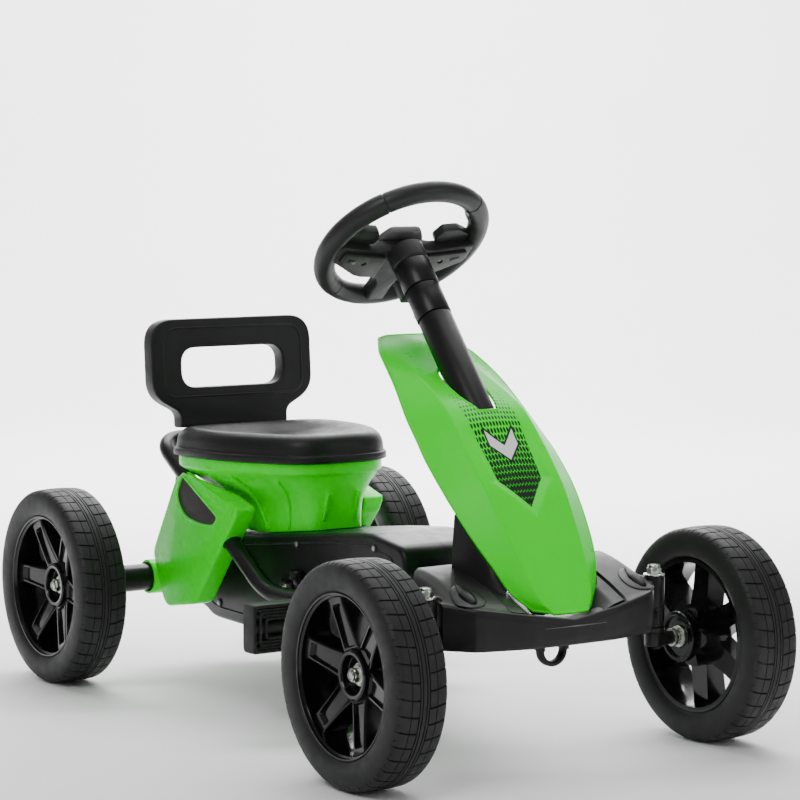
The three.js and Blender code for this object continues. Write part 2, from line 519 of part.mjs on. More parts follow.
// ------------------------------------------------------------------ tie rods
const axisU = V(-Math.sin(rad(STEER_TILT)), 0, Math.cos(rad(STEER_TILT)));
const pitmanPin = onAxis(PITMAN_T).add(V(-Math.cos(rad(STEER_TILT)), 0, -Math.sin(rad(STEER_TILT))).multiplyScalar(PITMAN_A));
const ARM_Z = 134;
{
  const p = pitmanPin.clone().add(V(0, 10, 0));
  // pin through the arm, eye above it, then a cranked rod out to the knuckle
  const top = p.clone().addScaledVector(axisU, 8), low = p.clone().addScaledVector(axisU, -6);
  const knuckle = V(KING_X - ARM_B, KING_Y, ARM_Z);
  const route = [top.clone().addScaledVector(axisU, 0), V(top.x + 1, 52, 211), V(702, 92, 152), V(KING_X - ARM_B, 132, 143.5), V(KING_X - ARM_B, KING_Y, 143.5)];
  const path = [];
  path.push(route[0]);
  for (let i = 1; i < route.length - 1; i++) {
    const q = route[i], a = route[i - 1].clone().sub(q).normalize(), b = route[i + 1].clone().sub(q).normalize();
    const r = i === 3 ? 8 : 14;
    for (let k = 0; k <= 2; k++) path.push(new THREE.QuadraticBezierCurve3(q.clone().addScaledVector(a, r), q, q.clone().addScaledVector(b, r)).getPoint(k / 2));
  }
  path.push(route[route.length - 1]);
  let m = solid(polySweep(path, 4.2, 8));
  m = m.add(solid(rod(low, top.clone().addScaledVector(axisU, 3.5), 3.8, 14)));
  m = m.add(solid(rod(p.clone().addScaledVector(axisU, 3.6), top.clone().addScaledVector(axisU, 4.5), 7.5, 16)));
  // ring that surrounds the knuckle pin with free play
  m = m.add(solid(rod(V(knuckle.x, knuckle.y, 139.6), V(knuckle.x, knuckle.y, 147.6), 12, 22)));
  m = m.subtract(solid(rod(V(knuckle.x, knuckle.y, 130), V(knuckle.x, knuckle.y, 160), 8, 20)));
  pair('tie_rod', fromSolid(m), ZINC);
}

// ------------------------------------------------------------------ knuckles
// L-shaped axle: kingpin up through the sleeve, stub axle out to the wheel.
{
  const k = (z) => V(KING_X, KING_Y, z);
  let m = solid(rod(k(AXLE_Z), k(SLEEVE_Z1 + 12), KING_R, 18));
  m = m.add(solid(rod(k(AXLE_Z - 7.5), k(AXLE_Z + 9.5), 10, 22)));
  m = m.add(solid(rod(k(SLEEVE_Z0 - 6.2), k(SLEEVE_Z0 - 1), 13, 24)));
  m = m.add(solid(rod(V(KING_X, KING_Y, AXLE_Z), V(KING_X, TRACK_F + 3.6, AXLE_Z), 6.2, 18)));
  m = m.add(solid(rod(V(KING_X, KING_Y, AXLE_Z), V(KING_X, TRACK_F - 52, AXLE_Z), 8, 18)));
  m = m.add(solid(rod(V(KING_X, KING_Y, AXLE_Z), V(KING_X, TRACK_F + 12, AXLE_Z), 5, 16)));
  m = m.add(solid(box(KING_X - ARM_B - 9, KING_X, KING_Y - 7, KING_Y + 7, ARM_Z - 2, ARM_Z + 3)));
  m = m.add(solid(rod(V(KING_X - ARM_B, KING_Y, ARM_Z - 5), V(KING_X - ARM_B, KING_Y, ARM_Z + 14), 3, 14)));
  pair('knuckle', fromSolid(m), STEEL_BLACK);
  const nut = cut(join(
    rod(V(KING_X, KING_Y, SLEEVE_Z1 + 0.6), V(KING_X, KING_Y, SLEEVE_Z1 + 2.6), 12, 22),
    hexRod(V(KING_X, KING_Y, SLEEVE_Z1 + 2), V(KING_X, KING_Y, SLEEVE_Z1 + 9.5), 15),
    rod(V(KING_X, KING_Y, SLEEVE_Z1 + 9), V(KING_X, KING_Y, SLEEVE_Z1 + 13), 7, 16, 5.8)),
    rod(k(SLEEVE_Z1 - 5), k(SLEEVE_Z1 + 20), KING_R + GAP, 18));
  pair('kingpin_nut', nut, ZINC);
}

// ------------------------------------------------------------------ chain case
{
  const outline = roundPoly([
    [-52, 172, 18], [-40, 188, 12], [182, 199, 8], [387, 225, 8], [470, 233, 10], [540, 224, 16], [548, 190, 10], [505, 158, 14],
    [440, 128, 16], [392, 76, 20], [84, 79, 16], [58, 91, 14], [-28, 91, 16], [-52, 120, 14]], 10, 2);
  const inner = insetPoly(outline, CASE_WALL);
  let m = solid(plateY(outline, GAP / 2, CASE_HALF));
  m = m.subtract(solid(plateY(inner, -2, CASE_HALF - CASE_WALL)));
  m = m.subtract(solid(rod(V(CRANK_X, 0, CRANK_Z), V(CRANK_X, 90, CRANK_Z), CRANK_R + 1.2, 20)));
  m = m.subtract(solid(rod(V(0, 0, AXLE_Z), V(0, 90, AXLE_Z), 10.5, 20)));
  m = m.subtract(solid(box(480, 800, -5, SPINE_Y + 0.6, SPINE_Z0 - 0.6, SPINE_Z1 + 0.6)));
  pair('chain_case', fromSolid(m), BLACK);
}

// ----------------------------------------------------- seat, hull, side covers
let housingEnvelope;
const seatZ = (x) => 295 + (x - 80) * 0.02;      // under edge of the seat lip
function seatRing(inset, dz, sq = 0) {
  // rounded seat outline, wider at the back
  const x0 = 62 + inset, xm = 205 - inset * 0.4, x1 = 322 - inset, w0 = 120 - inset, wm = 119 - inset, w1 = 62 - inset * 0.8;
  const base = roundPoly([[x0, -w0, 46], [xm, -wm, 60], [x1, -w1, 42], [x1, w1, 42], [xm, wm, 60], [x0, w0, 46]], 46, 3);
  return base.map(([x, y]) => V(x, y, seatZ(x) + dz(x, y)));
}
{
  const top = 36;
  const rings = [
    seatRing(16, () => 8), seatRing(5, () => 3), seatRing(4.5, () => 0.3), seatRing(0.5, () => 0.3), seatRing(0, () => 1.5), seatRing(0, () => 9),
    seatRing(3, () => 14), seatRing(4, () => 22), seatRing(8, () => 30), seatRing(18, () => 35), seatRing(30, () => 33), seatRing(52, () => 23), seatRing(78, () => 18)];
  add('seat_base', stack(rings), SEAT);
}
{
  // moulded housing between the seat and the chain case
  const top = (inset, z) => seatRing(inset, () => z).map((p) => p);
  const lowOutline = (inset) => {
    const base = roundPoly([[120 + inset, -46 + inset, 14], [210, -50 + inset, 14], [300 - inset, -38 + inset, 14], [300 - inset, 38 - inset, 14], [210, 50 - inset, 14], [120 + inset, 46 - inset, 14]], 14, 3);
    return base;
  };
  const zc = (x) => (x < 182 ? 199 : x < 387 ? 199 + (x - 182) * 26 / 205 : 225) + 1.2;
  const low = (inset, dz) => lowOutline(inset).map(([x, y]) => V(x, y, zc(x) + dz));
  const mix = (a, b, t, k = 1) => a.map((p, i) => { const q = p.clone().lerp(b[i], t); q.y *= k; return q; });
  housingEnvelope = () => { const a = low(-2, -2), b = seatRing(5, () => -19); return solid(stack([a, mix(a, b, 0.5, 0.88), b, seatRing(2, () => -14), seatRing(2, () => 10)])); };
  const A0 = low(0, 0), B0 = seatRing(9, () => -17), A1 = low(3, 3), B1 = seatRing(12, () => -15);
  const rings = [A0, mix(A0, B0, 0.5, 0.8), B0, seatRing(5, () => -13), seatRing(5, () => -GAP), seatRing(8, () => -GAP), seatRing(8, () => -11), B1, mix(A1, B1, 0.5, 0.8), A1];
  add('seat_housing', stack(rings), GREEN);
}
{
  // backrest: upright panel with a window, on a broad stem
  const halfW = 120, x0 = 18, x1 = 42;
  const outline = roundPoly([[-80, 0, 4], [-80, 20, 14], [-120, 42, 26], [-120, 142, 34], [120, 142, 34], [120, 42, 26], [80, 20, 14], [80, 0, 4]], 20, 6);
  const hole = roundPoly([[-76, 52], [76, 52], [76, 104], [-76, 104]], 22, 6);
  const s = new THREE.Shape(outline.map(([y, z]) => new THREE.Vector2(y, z)));
  s.holes.push(new THREE.Path(hole.map(([y, z]) => new THREE.Vector2(y, z))));
  const g = new THREE.ExtrudeGeometry(s, { depth: x1 - x0, bevelEnabled: false });
  // shape x -> Y, shape y -> Z, depth -> X
  g.applyMatrix4(new THREE.Matrix4().makeBasis(V(0, 1, 0), V(0, 0, 1), V(1, 0, 0)));
  g.rotateY(-rad(4)).translate(x0, 0, 322);
  add('backrest', g, SEAT);
}
{
  const outline = roundPoly([[102, 277, 6], [236, 240, 8], [227, 223, 6], [192, 186, 6], [124, 105, 10], [48, 92, 12], [36, 104, 8], [10, 160, 12], [74, 262, 14]], 8, 2);
  const Y1 = 109, Y0 = 80;
  let m = solid(plateY(outline, Y0, Y1));
  m = m.subtract(solid(plateY(insetPoly(outline, 3.2), Y0 - 5, Y1 - 3.2)));
  // the loop tube passes through the edges of the cover
  const far = [V(470, TUBE_Y, 141 - 0), V(284, TUBE_Y, 141), V(4, TUBE_Y - 3, 306), V(-60, TUBE_Y - 3, 344)];
  m = m.subtract(solid(polySweep(far, TUBE_R + 1.4, 10)));
  m = m.subtract(housingEnvelope());
  // pocket for the insert
  const insert = roundPoly([[96, 268, 6], [188, 224, 16], [176, 212, 12], [142, 210, 22], [100, 216, 24], [78, 240, 18]], 14, 4);
  m = m.subtract(solid(plateY(insert, Y0 - 5, Y1 + 5)));
  m = m.subtract(solid(rod(V(0, 50, AXLE_Z), V(0, 130, AXLE_Z), 18.2, 28)));
  pair('side_cover', fromSolid(m), GREEN);
  pair('side_insert', plateY(insetPoly(insert, GAP), Y1 - 2.4, Y1 - 0.2), BROWN);
}

// --------------------------------------------------------- fairing and bumper
const fairC = [[448, 466], [478, 457], [515, 441], [560, 423], [600, 405], [626, 390], [656, 360], [700, 311], [735, 263], [762, 222], [781, 193], [790, 179]];
const fairE = [[462, 42, 464], [490, 59, 452], [515, 67, 438], [548, 75, 415], [584, 83, 382], [612, 86.8, 357.5], [636, 89.5, 336], [673, 88, 301], [711, 80, 260], [738, 70, 229], [755, 58, 201], [772, 40, 181]];
{
  const K = [0, 0.2, 0.42, 0.6, 0.78, 0.9, 1];
  const grid = fairC.map(([cx, cz], i) => {
    const [ex, w, ez] = fairE[i];
    const row = [];
    for (let j = -K.length + 1; j < K.length; j++) {
      const f = K[Math.abs(j)], s = Math.sign(j);
      const q = f < 0.6 ? f * f * 0.25 : 0.09 + (f - 0.6) * (0.91 / 0.4);
      row.push(V(cx + (ex - cx) * q, s * w * (f < 0.6 ? f * 1.0 : 0.6 + (f - 0.6)), cz + (ez - cz) * q));
    }
    return row;
  });
  let m = solid(sheet(grid, 3, false));
  // hole round the steering column
  m = m.subtract(solid(rod(onAxis(HEAD_T1 + 1.5), onAxis(60), COLUMN_R + 2.5, 32)));
  add('front_fairing', fromSolid(m), GREEN);
}
{
  // bumper: sloping deck and upright front wall, open underneath and at the back
  const plan = (y) => { const a = Math.abs(y); return a < 60 ? 800 - a * 0.03 : a < 118 ? 798 - (a - 60) * 0.26 : 783 - (a - 118) * 1.2; };
  const ys = [-145, -140, -128, -116, -96, -78, -73, -62, -52, -44, -36, -18, 0, 18, 36, 44, 52, 62, 73, 78, 96, 116, 128, 140, 145];
  const grid = ys.map((y) => {
    const a = Math.abs(y), xf = plan(y);
    const zTop = a > 140 ? 200 : a > 130 ? 214 : 224;
    const zF = 168 + a * 0.16, zB = 143;
    const side = (x) => { const u = Math.max(0, (x - 672) / (xf - 6 - 672)); return zTop + (zF + 4 - zTop) * Math.pow(u, 1.5); };
    // under the fairing the deck is set lower, and in the middle only its front strip is left
    const drop = (x) => { const u = (x - 672) / (xf - 6 - 672); return (2.5 + Math.max(0, 60 - a) * 0.6) * (1 - Math.pow(u, 14)); };
    const xr = a < 40 ? 778 : a < 76 ? 722 : 672 + (a > 130 ? (a - 130) * 1.2 : 0);
    const row = [];
    const deck = (t) => { const x = xr + (xf - 6 - xr) * t; return V(x, y, a < 40 ? zF + (1 - t) * 3 : a < 76 ? side(x) - drop(x) : side(x)); };
    for (const t of [0, 0.3, 0.6, 0.85, 1]) row.push(deck(t));
    row.push(V(xf, y, zF - 6), V(xf, y, (zF + zB) / 2), V(xf - 3, y, zB));
    return row;
  });
  let m = solid(sheet(grid, 3, true));
  // side walls
  for (const s of [-1, 1]) {
    const w = plateY([[684, 162], [724, 162], [752, 146], [751, 186], [740, 200], [684, 204]], 138, 141);
    m = m.add(solid(s > 0 ? w : mirrorY(w)));
  }
  m = m.subtract(solid(box(KING_X - 14, KING_X + 14, -160, 160, 130, 164)));
  for (const t of [-1, 1]) m = m.subtract(solid(rod(V(KING_X, t * KING_Y, 120), V(KING_X, t * KING_Y, 230), SLEEVE_R + 3.5, 24)));
  add('front_bumper', fromSolid(m), BLACK);
}
{
  // lug with a flat-topped ring, tucked under the bumper
  let m = solid(rod(V(746, 0, 131), V(758, 0, 131), 19, 28)).subtract(solid(rod(V(730, 0, 131), V(780, 0, 131), 12.5, 24)));
  m = m.add(solid(box(742, 762, -19, 19, 137.2, 150)));
  m = m.add(solid(box(743, 761, -19, -13, 131, 140))).add(solid(box(743, 761, 13, 19, 131, 140)));
  m = m.subtract(solid(box(700, 800, -40, 40, 141.7, 170)));
  add('tow_loop', fromSolid(m), BLACK);
}

export default kart;
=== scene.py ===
import bpy, bmesh, math
import numpy as np
from mathutils import Vector, Matrix, Quaternion
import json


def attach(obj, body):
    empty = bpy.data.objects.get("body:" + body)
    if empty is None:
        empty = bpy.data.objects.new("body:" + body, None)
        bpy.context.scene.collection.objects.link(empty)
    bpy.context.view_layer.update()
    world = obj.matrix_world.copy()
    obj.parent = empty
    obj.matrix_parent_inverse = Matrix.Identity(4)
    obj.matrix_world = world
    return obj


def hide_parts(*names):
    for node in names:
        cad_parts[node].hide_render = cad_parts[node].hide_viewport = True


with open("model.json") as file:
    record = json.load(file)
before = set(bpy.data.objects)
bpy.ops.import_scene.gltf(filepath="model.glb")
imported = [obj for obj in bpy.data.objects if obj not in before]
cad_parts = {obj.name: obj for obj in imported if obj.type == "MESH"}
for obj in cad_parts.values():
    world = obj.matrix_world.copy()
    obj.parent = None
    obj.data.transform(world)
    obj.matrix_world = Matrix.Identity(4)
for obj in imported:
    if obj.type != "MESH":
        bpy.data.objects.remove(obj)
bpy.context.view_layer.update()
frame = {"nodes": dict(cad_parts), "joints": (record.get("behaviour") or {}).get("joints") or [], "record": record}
NODES = frame["nodes"]
rec = frame["record"]

# ------------------------------------------------------------------ dimensions
X0 = 367.5                      # stations are measured from the rear axle, in mm
AX = 125.0
KX, KY = 735.0, 157.0
TRF, TRR = 239.0, 234.0
SX, SZ, TILT = 445.0, 574.0, math.radians(40)
RING, RTUBE = 98.0, 13.0
CRX, CRZ, THROW, CANG = 335.0, 122.0, 80.0, math.radians(1)
JOINT = {j["name"]: j for j in frame["joints"]}

def M(p):
    """mm from the rear axle -> metres in the row frame"""
    return Vector(((p[0] - X0) / 1000, p[1] / 1000, p[2] / 1000))

def on_axis(t):
    return np.array([SX + math.sin(TILT) * t, 0, SZ - math.cos(TILT) * t])

# column frame: +Z up the column, +X to the top of the wheel, +Y left
COL = np.array([[math.cos(TILT), 0, -math.sin(TILT)],
                [0, 1, 0],
                [math.sin(TILT), 0, math.cos(TILT)]])
def colp(v):
    v = np.asarray(v, float)
    return v @ COL.T + np.array([SX, 0, SZ])

# ------------------------------------------------------------------- materials
def nt(name):
    m = bpy.data.materials.new(name)
    m.use_nodes = True
    t = m.node_tree
    for n in list(t.nodes):
        t.nodes.remove(n)
    out = t.nodes.new("ShaderNodeOutputMaterial")
    b = t.nodes.new("ShaderNodeBsdfPrincipled")
    t.links.new(b.outputs["BSDF"], out.inputs["Surface"])
    return m, t, b

def N(t, kind, **kw):
    n = t.nodes.new(kind)
    for k, v in kw.items():
        setattr(n, k, v)
    return n

def link(t, a, b):
    t.links.new(a, b)

def coords(t):
    return N(t, "ShaderNodeTexCoord").outputs["Object"]

def ramp(t, fac, stops, interp="LINEAR"):
    r = N(t, "ShaderNodeValToRGB")
    r.color_ramp.interpolation = interp
    e = r.color_ramp.elements
    while len(e) < len(stops):
        e.new(0.5)
    for i, (p, c) in enumerate(stops):
        e[i].position = p
        e[i].color = (*c, 1) if len(c) == 3 else c
    link(t, fac, r.inputs["Fac"])
    return r.outputs["Color"]

def noise(t, scale, detail=2, rough=0.5, co=None, kind="ShaderNodeTexNoise"):
    n = N(t, kind)
    n.inputs["Scale"].default_value = scale
    if kind == "ShaderNodeTexNoise":
        n.inputs["Detail"].default_value = detail
        n.inputs["Roughness"].default_value = rough
    link(t, co if co is not None else coords(t), n.inputs["Vector"])
    return n

def maprange(t, val, a, b, c, d):
    n = N(t, "ShaderNodeMapRange")
    n.inputs["From Min"].default_value = a
    n.inputs["From Max"].default_value = b
    n.inputs["To Min"].default_value = c
    n.inputs["To Max"].default_value = d
    link(t, val, n.inputs["Value"])
    return n.outputs["Result"]

def math_n(t, op, a, b=None, c=None, clamp=False):
    n = N(t, "ShaderNodeMath", operation=op, use_clamp=clamp)
    for i, v in enumerate((a, b, c)):
        if v is None:
            continue
        if isinstance(v, (int, float)):
            n.inputs[i].default_value = v
        else:
            link(t, v, n.inputs[i])
    return n.outputs[0]

def bump(t, b, height, strength, distance=0.001, prev=None):
    n = N(t, "ShaderNodeBump")
    n.inputs["Strength"].default_value = strength
    n.inputs["Distance"].default_value = distance
    link(t, height, n.inputs["Height"])
    if prev is not None:
        link(t, prev, n.inputs["Normal"])
    return n.outputs["Normal"]

def mixc(t, fac, a, b, mode="MIX"):
    n = N(t, "ShaderNodeMix", data_type="RGBA", blend_type=mode)
    for s, v in ((n.inputs["Factor"], fac), (n.inputs["A"], a), (n.inputs["B"], b)):
        pass
    ins = [i for i in n.inputs if i.enabled]
    fa = [i for i in n.inputs if i.name == "Factor" and i.type == "VALUE"][0]
    ca = [i for i in n.inputs if i.name == "A" and i.type == "RGBA"][0]
    cb = [i for i in n.inputs if i.name == "B" and i.type == "RGBA"][0]
    for s, v in ((fa, fac), (ca, a), (cb, b)):
        if isinstance(v, (int, float)):
            s.default_value = v
        elif isinstance(v, (tuple, list)):
            s.default_value = (*v, 1) if len(v) == 3 else v
        else:
            link(t, v, s)
    return [o for o in n.outputs if o.type == "RGBA"][0]

def plastic(name, col, rough, var=0.15, grain=0.0, grain_scale=900, wear=0.0, coat=0.0, spec=0.5, metal=0.0, rvar=0.06):
    """moulded plastic or painted steel: faint colour mottling, handling marks in the gloss and a fine skin texture"""
    m, t, b = nt(name)
    co = coords(t)
    n1 = noise(t, 9, 3, 0.55, co)
    lo = tuple(c * (1 - var) for c in col)
    hi = tuple(min(1, c * (1 + var)) for c in col)
    c = ramp(t, n1.outputs["Fac"], [(0.3, lo), (0.7, hi)])
    n2 = noise(t, 60, 4, 0.6, co)
    r = maprange(t, n2.outputs["Fac"], 0.3, 0.7, max(0.03, rough - rvar), min(1, rough + rvar))
    if wear:
        # edges are rubbed slightly paler
        g = N(t, "ShaderNodeNewGeometry")
        e = maprange(t, g.outputs["Pointiness"], 0.53, 0.60, 0, wear)
        c = mixc(t, e, c, tuple(min(1, x * 2.2 + 0.06) for x in col))
    link(t, c, b.inputs["Base Color"])
    link(t, r, b.inputs["Roughness"])
    b.inputs["Metallic"].default_value = metal
    b.inputs["Specular IOR Level"].default_value = spec
    if coat:
        b.inputs["Coat Weight"].default_value = coat
        b.inputs["Coat Roughness"].default_value = 0.06
    if grain:
        n3 = noise(t, grain_scale, 2, 0.5, co)
        n4 = noise(t, 22, 2, 0.5, co)
        nn = bump(t, b, n3.outputs["Fac"], grain, 0.0004)
        nn = bump(t, b, n4.outputs["Fac"], 0.06, 0.002, nn)
        link(t, nn, b.inputs["Normal"])
    else:
        n4 = noise(t, 14, 2, 0.5, co)
        link(t, bump(t, b, n4.outputs["Fac"], 0.045, 0.002), b.inputs["Normal"])
    return m

def zinc(name, tint=(0.62, 0.65, 0.58), rough=0.28):
    m, t, b = nt(name)
    co = coords(t)
    v = noise(t, 420, 0, 0, co, "ShaderNodeTexVoronoi")
    n = noise(t, 120, 4, 0.6, co)
    c = ramp(t, n.outputs["Fac"], [(0.3, tuple(x * 0.78 for x in tint)), (0.6, tint), (0.8, (0.70, 0.72, 0.55))])
    link(t, c, b.inputs["Base Color"])
    link(t, maprange(t, n.outputs["Fac"], 0.3, 0.7, rough - 0.08, rough + 0.12), b.inputs["Roughness"])
    b.inputs["Metallic"].default_value = 1.0
    link(t, bump(t, b, v.outputs["Distance"], 0.08, 0.0004), b.inputs["Normal"])
    return m

GREEN = (0.001, 0.90, 0.0)
m_green = plastic("green_gloss", GREEN, 0.28, var=0.05, rvar=0.04, spec=0.20)
m_trim = plastic("trim_black", (0.0095, 0.0095, 0.0093), 0.42, var=0.2, grain=0.10, grain_scale=1400, wear=0.06, spec=0.30)
m_case = plastic("case_black", (0.006, 0.006, 0.006), 0.34, var=0.2, grain=0.08, grain_scale=1400, wear=0.05, spec=0.26)
m_seat = plastic("seat_black", (0.0085, 0.0085, 0.009), 0.44, var=0.18, grain=0.16, grain_scale=1500, wear=0.05, spec=0.28)
m_grip = plastic("wheel_grey", (0.017, 0.0175, 0.0175), 0.42, var=0.15, grain=0.14, grain_scale=1500, wear=0.08, spec=0.32)
m_pad = plastic("pad_grey", (0.10, 0.10, 0.098), 0.48, var=0.1, grain=0.14, grain_scale=1500)
m_rim = plastic("rim_gloss", (0.003, 0.003, 0.003), 0.16, var=0.15, coat=0.1, rvar=0.05, spec=0.30)
m_paint = plastic("powder_black", (0.0075, 0.0075, 0.0072), 0.33, var=0.08, grain=0.08, grain_scale=900, rvar=0.03, spec=0.32)
m_pedal = plastic("pedal_black", (0.010, 0.010, 0.010), 0.5, var=0.2, grain=0.18, grain_scale=1200, wear=0.12, spec=0.3)
m_lens = plastic("lamp_inset", (0.003, 0.003, 0.0032), 0.32, var=0.1, spec=0.2)
m_bush = plastic("nylon", (0.02, 0.02, 0.02), 0.5)
m_zinc = zinc("zinc_plate")
m_steel = zinc("bare_steel", (0.42, 0.43, 0.44), 0.36)

def foam():
    m, t, b = nt("foam_tyre")
    co = coords(t)
    n1 = noise(t, 16, 3, 0.55, co)
    c = ramp(t, n1.outputs["Fac"], [(0.32, (0.0115, 0.0115, 0.0118)), (0.68, (0.0170, 0.0170, 0.0173))])
    # scuffs in fine speckle
    n2 = noise(t, 900, 2, 0.6, co)
    c2 = mixc(t, maprange(t, n2.outputs["Fac"], 0.55, 0.8, 0, 0.18), c, (0.035, 0.035, 0.035))
    link(t, c2, b.inputs["Base Color"])
    n3 = noise(t, 70, 4, 0.6, co)
    b.inputs["Specular IOR Level"].default_value = 0.3
    link(t, maprange(t, n3.outputs["Fac"], 0.3, 0.7, 0.46, 0.62), b.inputs["Roughness"])
    v = noise(t, 1300, 0, 0, co, "ShaderNodeTexVoronoi")
    nn = bump(t, b, v.outputs["Distance"], 0.12, 0.0004)
    nn = bump(t, b, n3.outputs["Fac"], 0.06, 0.001, nn)
    link(t, nn, b.inputs["Normal"])
    return m
m_foam = foam()

def grained():
    m, t, b = nt("grained_insert")
    co = coords(t)
    v = noise(t, 620, 0, 0, co, "ShaderNodeTexVoronoi")
    n = noise(t, 200, 4, 0.6, co)
    c = ramp(t, n.outputs["Fac"], [(0.3, (0.017, 0.014, 0.013)), (0.7, (0.032, 0.027, 0.025))])
    link(t, c, b.inputs["Base Color"])
    link(t, maprange(t, n.outputs["Fac"], 0.3, 0.7, 0.6, 0.75), b.inputs["Roughness"])
    nn = bump(t, b, v.outputs["Distance"], 0.55, 0.0007)
    nn = bump(t, b, n.outputs["Fac"], 0.25, 0.0006, nn)
    link(t, nn, b.inputs["Normal"])
    return m
m_insert = grained()

# --------------------------------------------------------------------- meshes
def make(name, verts, faces, mat, angle=35, mm=True):
    me = bpy.data.meshes.new(name)
    vs = [M(v) if mm else Vector(v) for v in verts]
    me.from_pydata(vs, [], faces)
    me.validate(clean_customdata=False)
    bm = bmesh.new(); bm.from_mesh(me)
    bmesh.ops.recalc_face_normals(bm, faces=bm.faces)
    bm.to_mesh(me); bm.free()
    o = bpy.data.objects.new(name, me)
    bpy.context.scene.collection.objects.link(o)
    if mat is not None:
        for m in (mat if isinstance(mat, (list, tuple)) else [mat]):
            me.materials.append(m)
    smooth(o, angle)
    return o

def smooth(o, angle=35):
    me = o.data
    me.polygons.foreach_set("use_smooth", [True] * len(me.polygons))
    bm = bmesh.new(); bm.from_mesh(me)
    lim = math.radians(angle)
    for e in bm.edges:
        e.smooth = not (len(e.link_faces) == 2 and e.calc_face_angle(0) > lim)
    bm.to_mesh(me); bm.free()
    me.update()

def apply_mods(o):
    bpy.context.view_layer.update()
    dg = bpy.context.evaluated_depsgraph_get()
    me = bpy.data.meshes.new_from_object(o.evaluated_get(dg), depsgraph=dg)
    old = o.data
    o.modifiers.clear()
    o.data = me
    bpy.data.meshes.remove(old)
    return o

def bevel(o, width, seg=2, angle=30, sm=35):
    md = o.modifiers.new("b", "BEVEL")
    md.width = width / 1000
    md.segments = seg
    md.limit_method = "ANGLE"
    md.angle_limit = math.radians(angle)
    md.harden_normals = False
    md.use_clamp_overlap = True
    apply_mods(o)
    smooth(o, sm)
    return o

def subsurf(o, lv=2, sm=60):
    md = o.modifiers.new("s", "SUBSURF")
    md.levels = lv; md.render_levels = lv
    apply_mods(o)
    smooth(o, sm)
    return o

def boolean(o, cutters, op="DIFFERENCE", sm=35, solver="EXACT"):
    for c in cutters:
        md = o.modifiers.new("x", "BOOLEAN")
        md.operation = op; md.object = c; md.solver = solver
    apply_mods(o)
    for c in cutters:
        me = c.data
        bpy.data.objects.remove(c)
        bpy.data.meshes.remove(me)
    smooth(o, sm)
    return o

def unite(name, objs, mat=None, sm=35):
    """one object from several closed pieces"""
    bm = bmesh.new()
    mats = []
    for o in objs:
        base = []
        for m in o.data.materials:
            if m not in mats:
                mats.append(m)
            base.append(mats.index(m))
        n0 = len(bm.faces)
        bm.from_mesh(o.data)
        bm.faces.ensure_lookup_table()
        for f in bm.faces[n0:]:
            f.material_index = base[min(f.material_index, len(base) - 1)] if base else 0
    me = bpy.data.meshes.new(name)
    bm.to_mesh(me); bm.free()
    for m in (mats if mat is None else [mat]):
        me.materials.append(m)
    for o in objs:
        old = o.data
        bpy.data.objects.remove(o)
        if old.users == 0:
            bpy.data.meshes.remove(old)
    o = bpy.data.objects.new(name, me)
    bpy.context.scene.collection.objects.link(o)
    smooth(o, sm)
    return o

def lathe(name, prof, seg, mat, to=None, angle=35):
    """profile [(r, h)] round the local Z axis; closed profile unless it starts and ends at r=0. 'to' maps local (x,y,z) mm arrays."""
    closed = not (abs(prof[0][0]) < 1e-6 and abs(prof[-1][0]) < 1e-6)
    V, F, rows = [], [], []
    for r, h in prof:
        if r < 1e-6:
            rows.append([len(V)]); V.append((0, 0, h))
        else:
            rows.append(list(range(len(V), len(V) + seg)))
            for k in range(seg):
                a = 2 * math.pi * k / seg
                V.append((r * math.cos(a), r * math.sin(a), h))
    pairs = list(zip(rows[:-1], rows[1:]))
    if closed:
        pairs.append((rows[-1], rows[0]))
    for A, B in pairs:
        for k in range(seg):
            k2 = (k + 1) % seg
            if len(A) == 1 and len(B) == 1:
                continue
            if len(A) == 1:
                F.append((A[0], B[k], B[k2]))
            elif len(B) == 1:
                F.append((A[k], A[k2], B[0]))
            else:
                F.append((A[k], A[k2], B[k2], B[k]))
    V = np.array(V, float)
    if to is not None:
        V = to(V)
    return make(name, V, F, mat, angle)

def to_axis(p, d):
    """maps local Z to direction d, origin to p"""
    q = Vector((0, 0, 1)).rotation_difference(Vector(d).normalized()).to_matrix()
    R = np.array(q)
    p = np.array(p, float)
    return lambda V: V @ R.T + p

def round_prof(pts, r=0.6, n=3):
    """rounds the corners of an open profile that starts and ends on the axis"""
    out = [pts[0]]
    for i in range(1, len(pts) - 1):
        p = np.array(pts[i], float); a = np.array(pts[i - 1], float) - p; b = np.array(pts[i + 1], float) - p
        la, lb = np.linalg.norm(a), np.linalg.norm(b)
        rr = min(r, la * 0.45, lb * 0.45)
        p0, p1 = p + a / la * rr, p + b / lb * rr
        for k in range(n + 1):
            t = k / n
            out.append(tuple((1 - t) ** 2 * p0 + 2 * t * (1 - t) * p + t * t * p1))
    out.append(pts[-1])
    return out

def cyl(name, a, b, r, mat, seg=40, edge=0.6, r2=None):
    a, b = np.array(a, float), np.array(b, float)
    L = np.linalg.norm(b - a)
    prof = round_prof([(0, 0), (r, 0), (r2 or r, L), (0, L)], edge)
    return lathe(name, prof, seg, mat, to_axis(a, b - a))

def pipe(name, a, b, ro, ri, mat, seg=48, edge=0.5):
    a, b = np.array(a, float), np.array(b, float)
    L = np.linalg.norm(b - a)
    e = edge
    prof = [(ri, e), (ri + e, 0), (ro - e, 0), (ro - e * .3, e * .3), (ro, e), (ro, L - e), (ro - e * .3, L - e * .3), (ro - e, L), (ri + e, L), (ri, L - e)]
    return lathe(name, prof, seg, mat, to_axis(a, b - a))

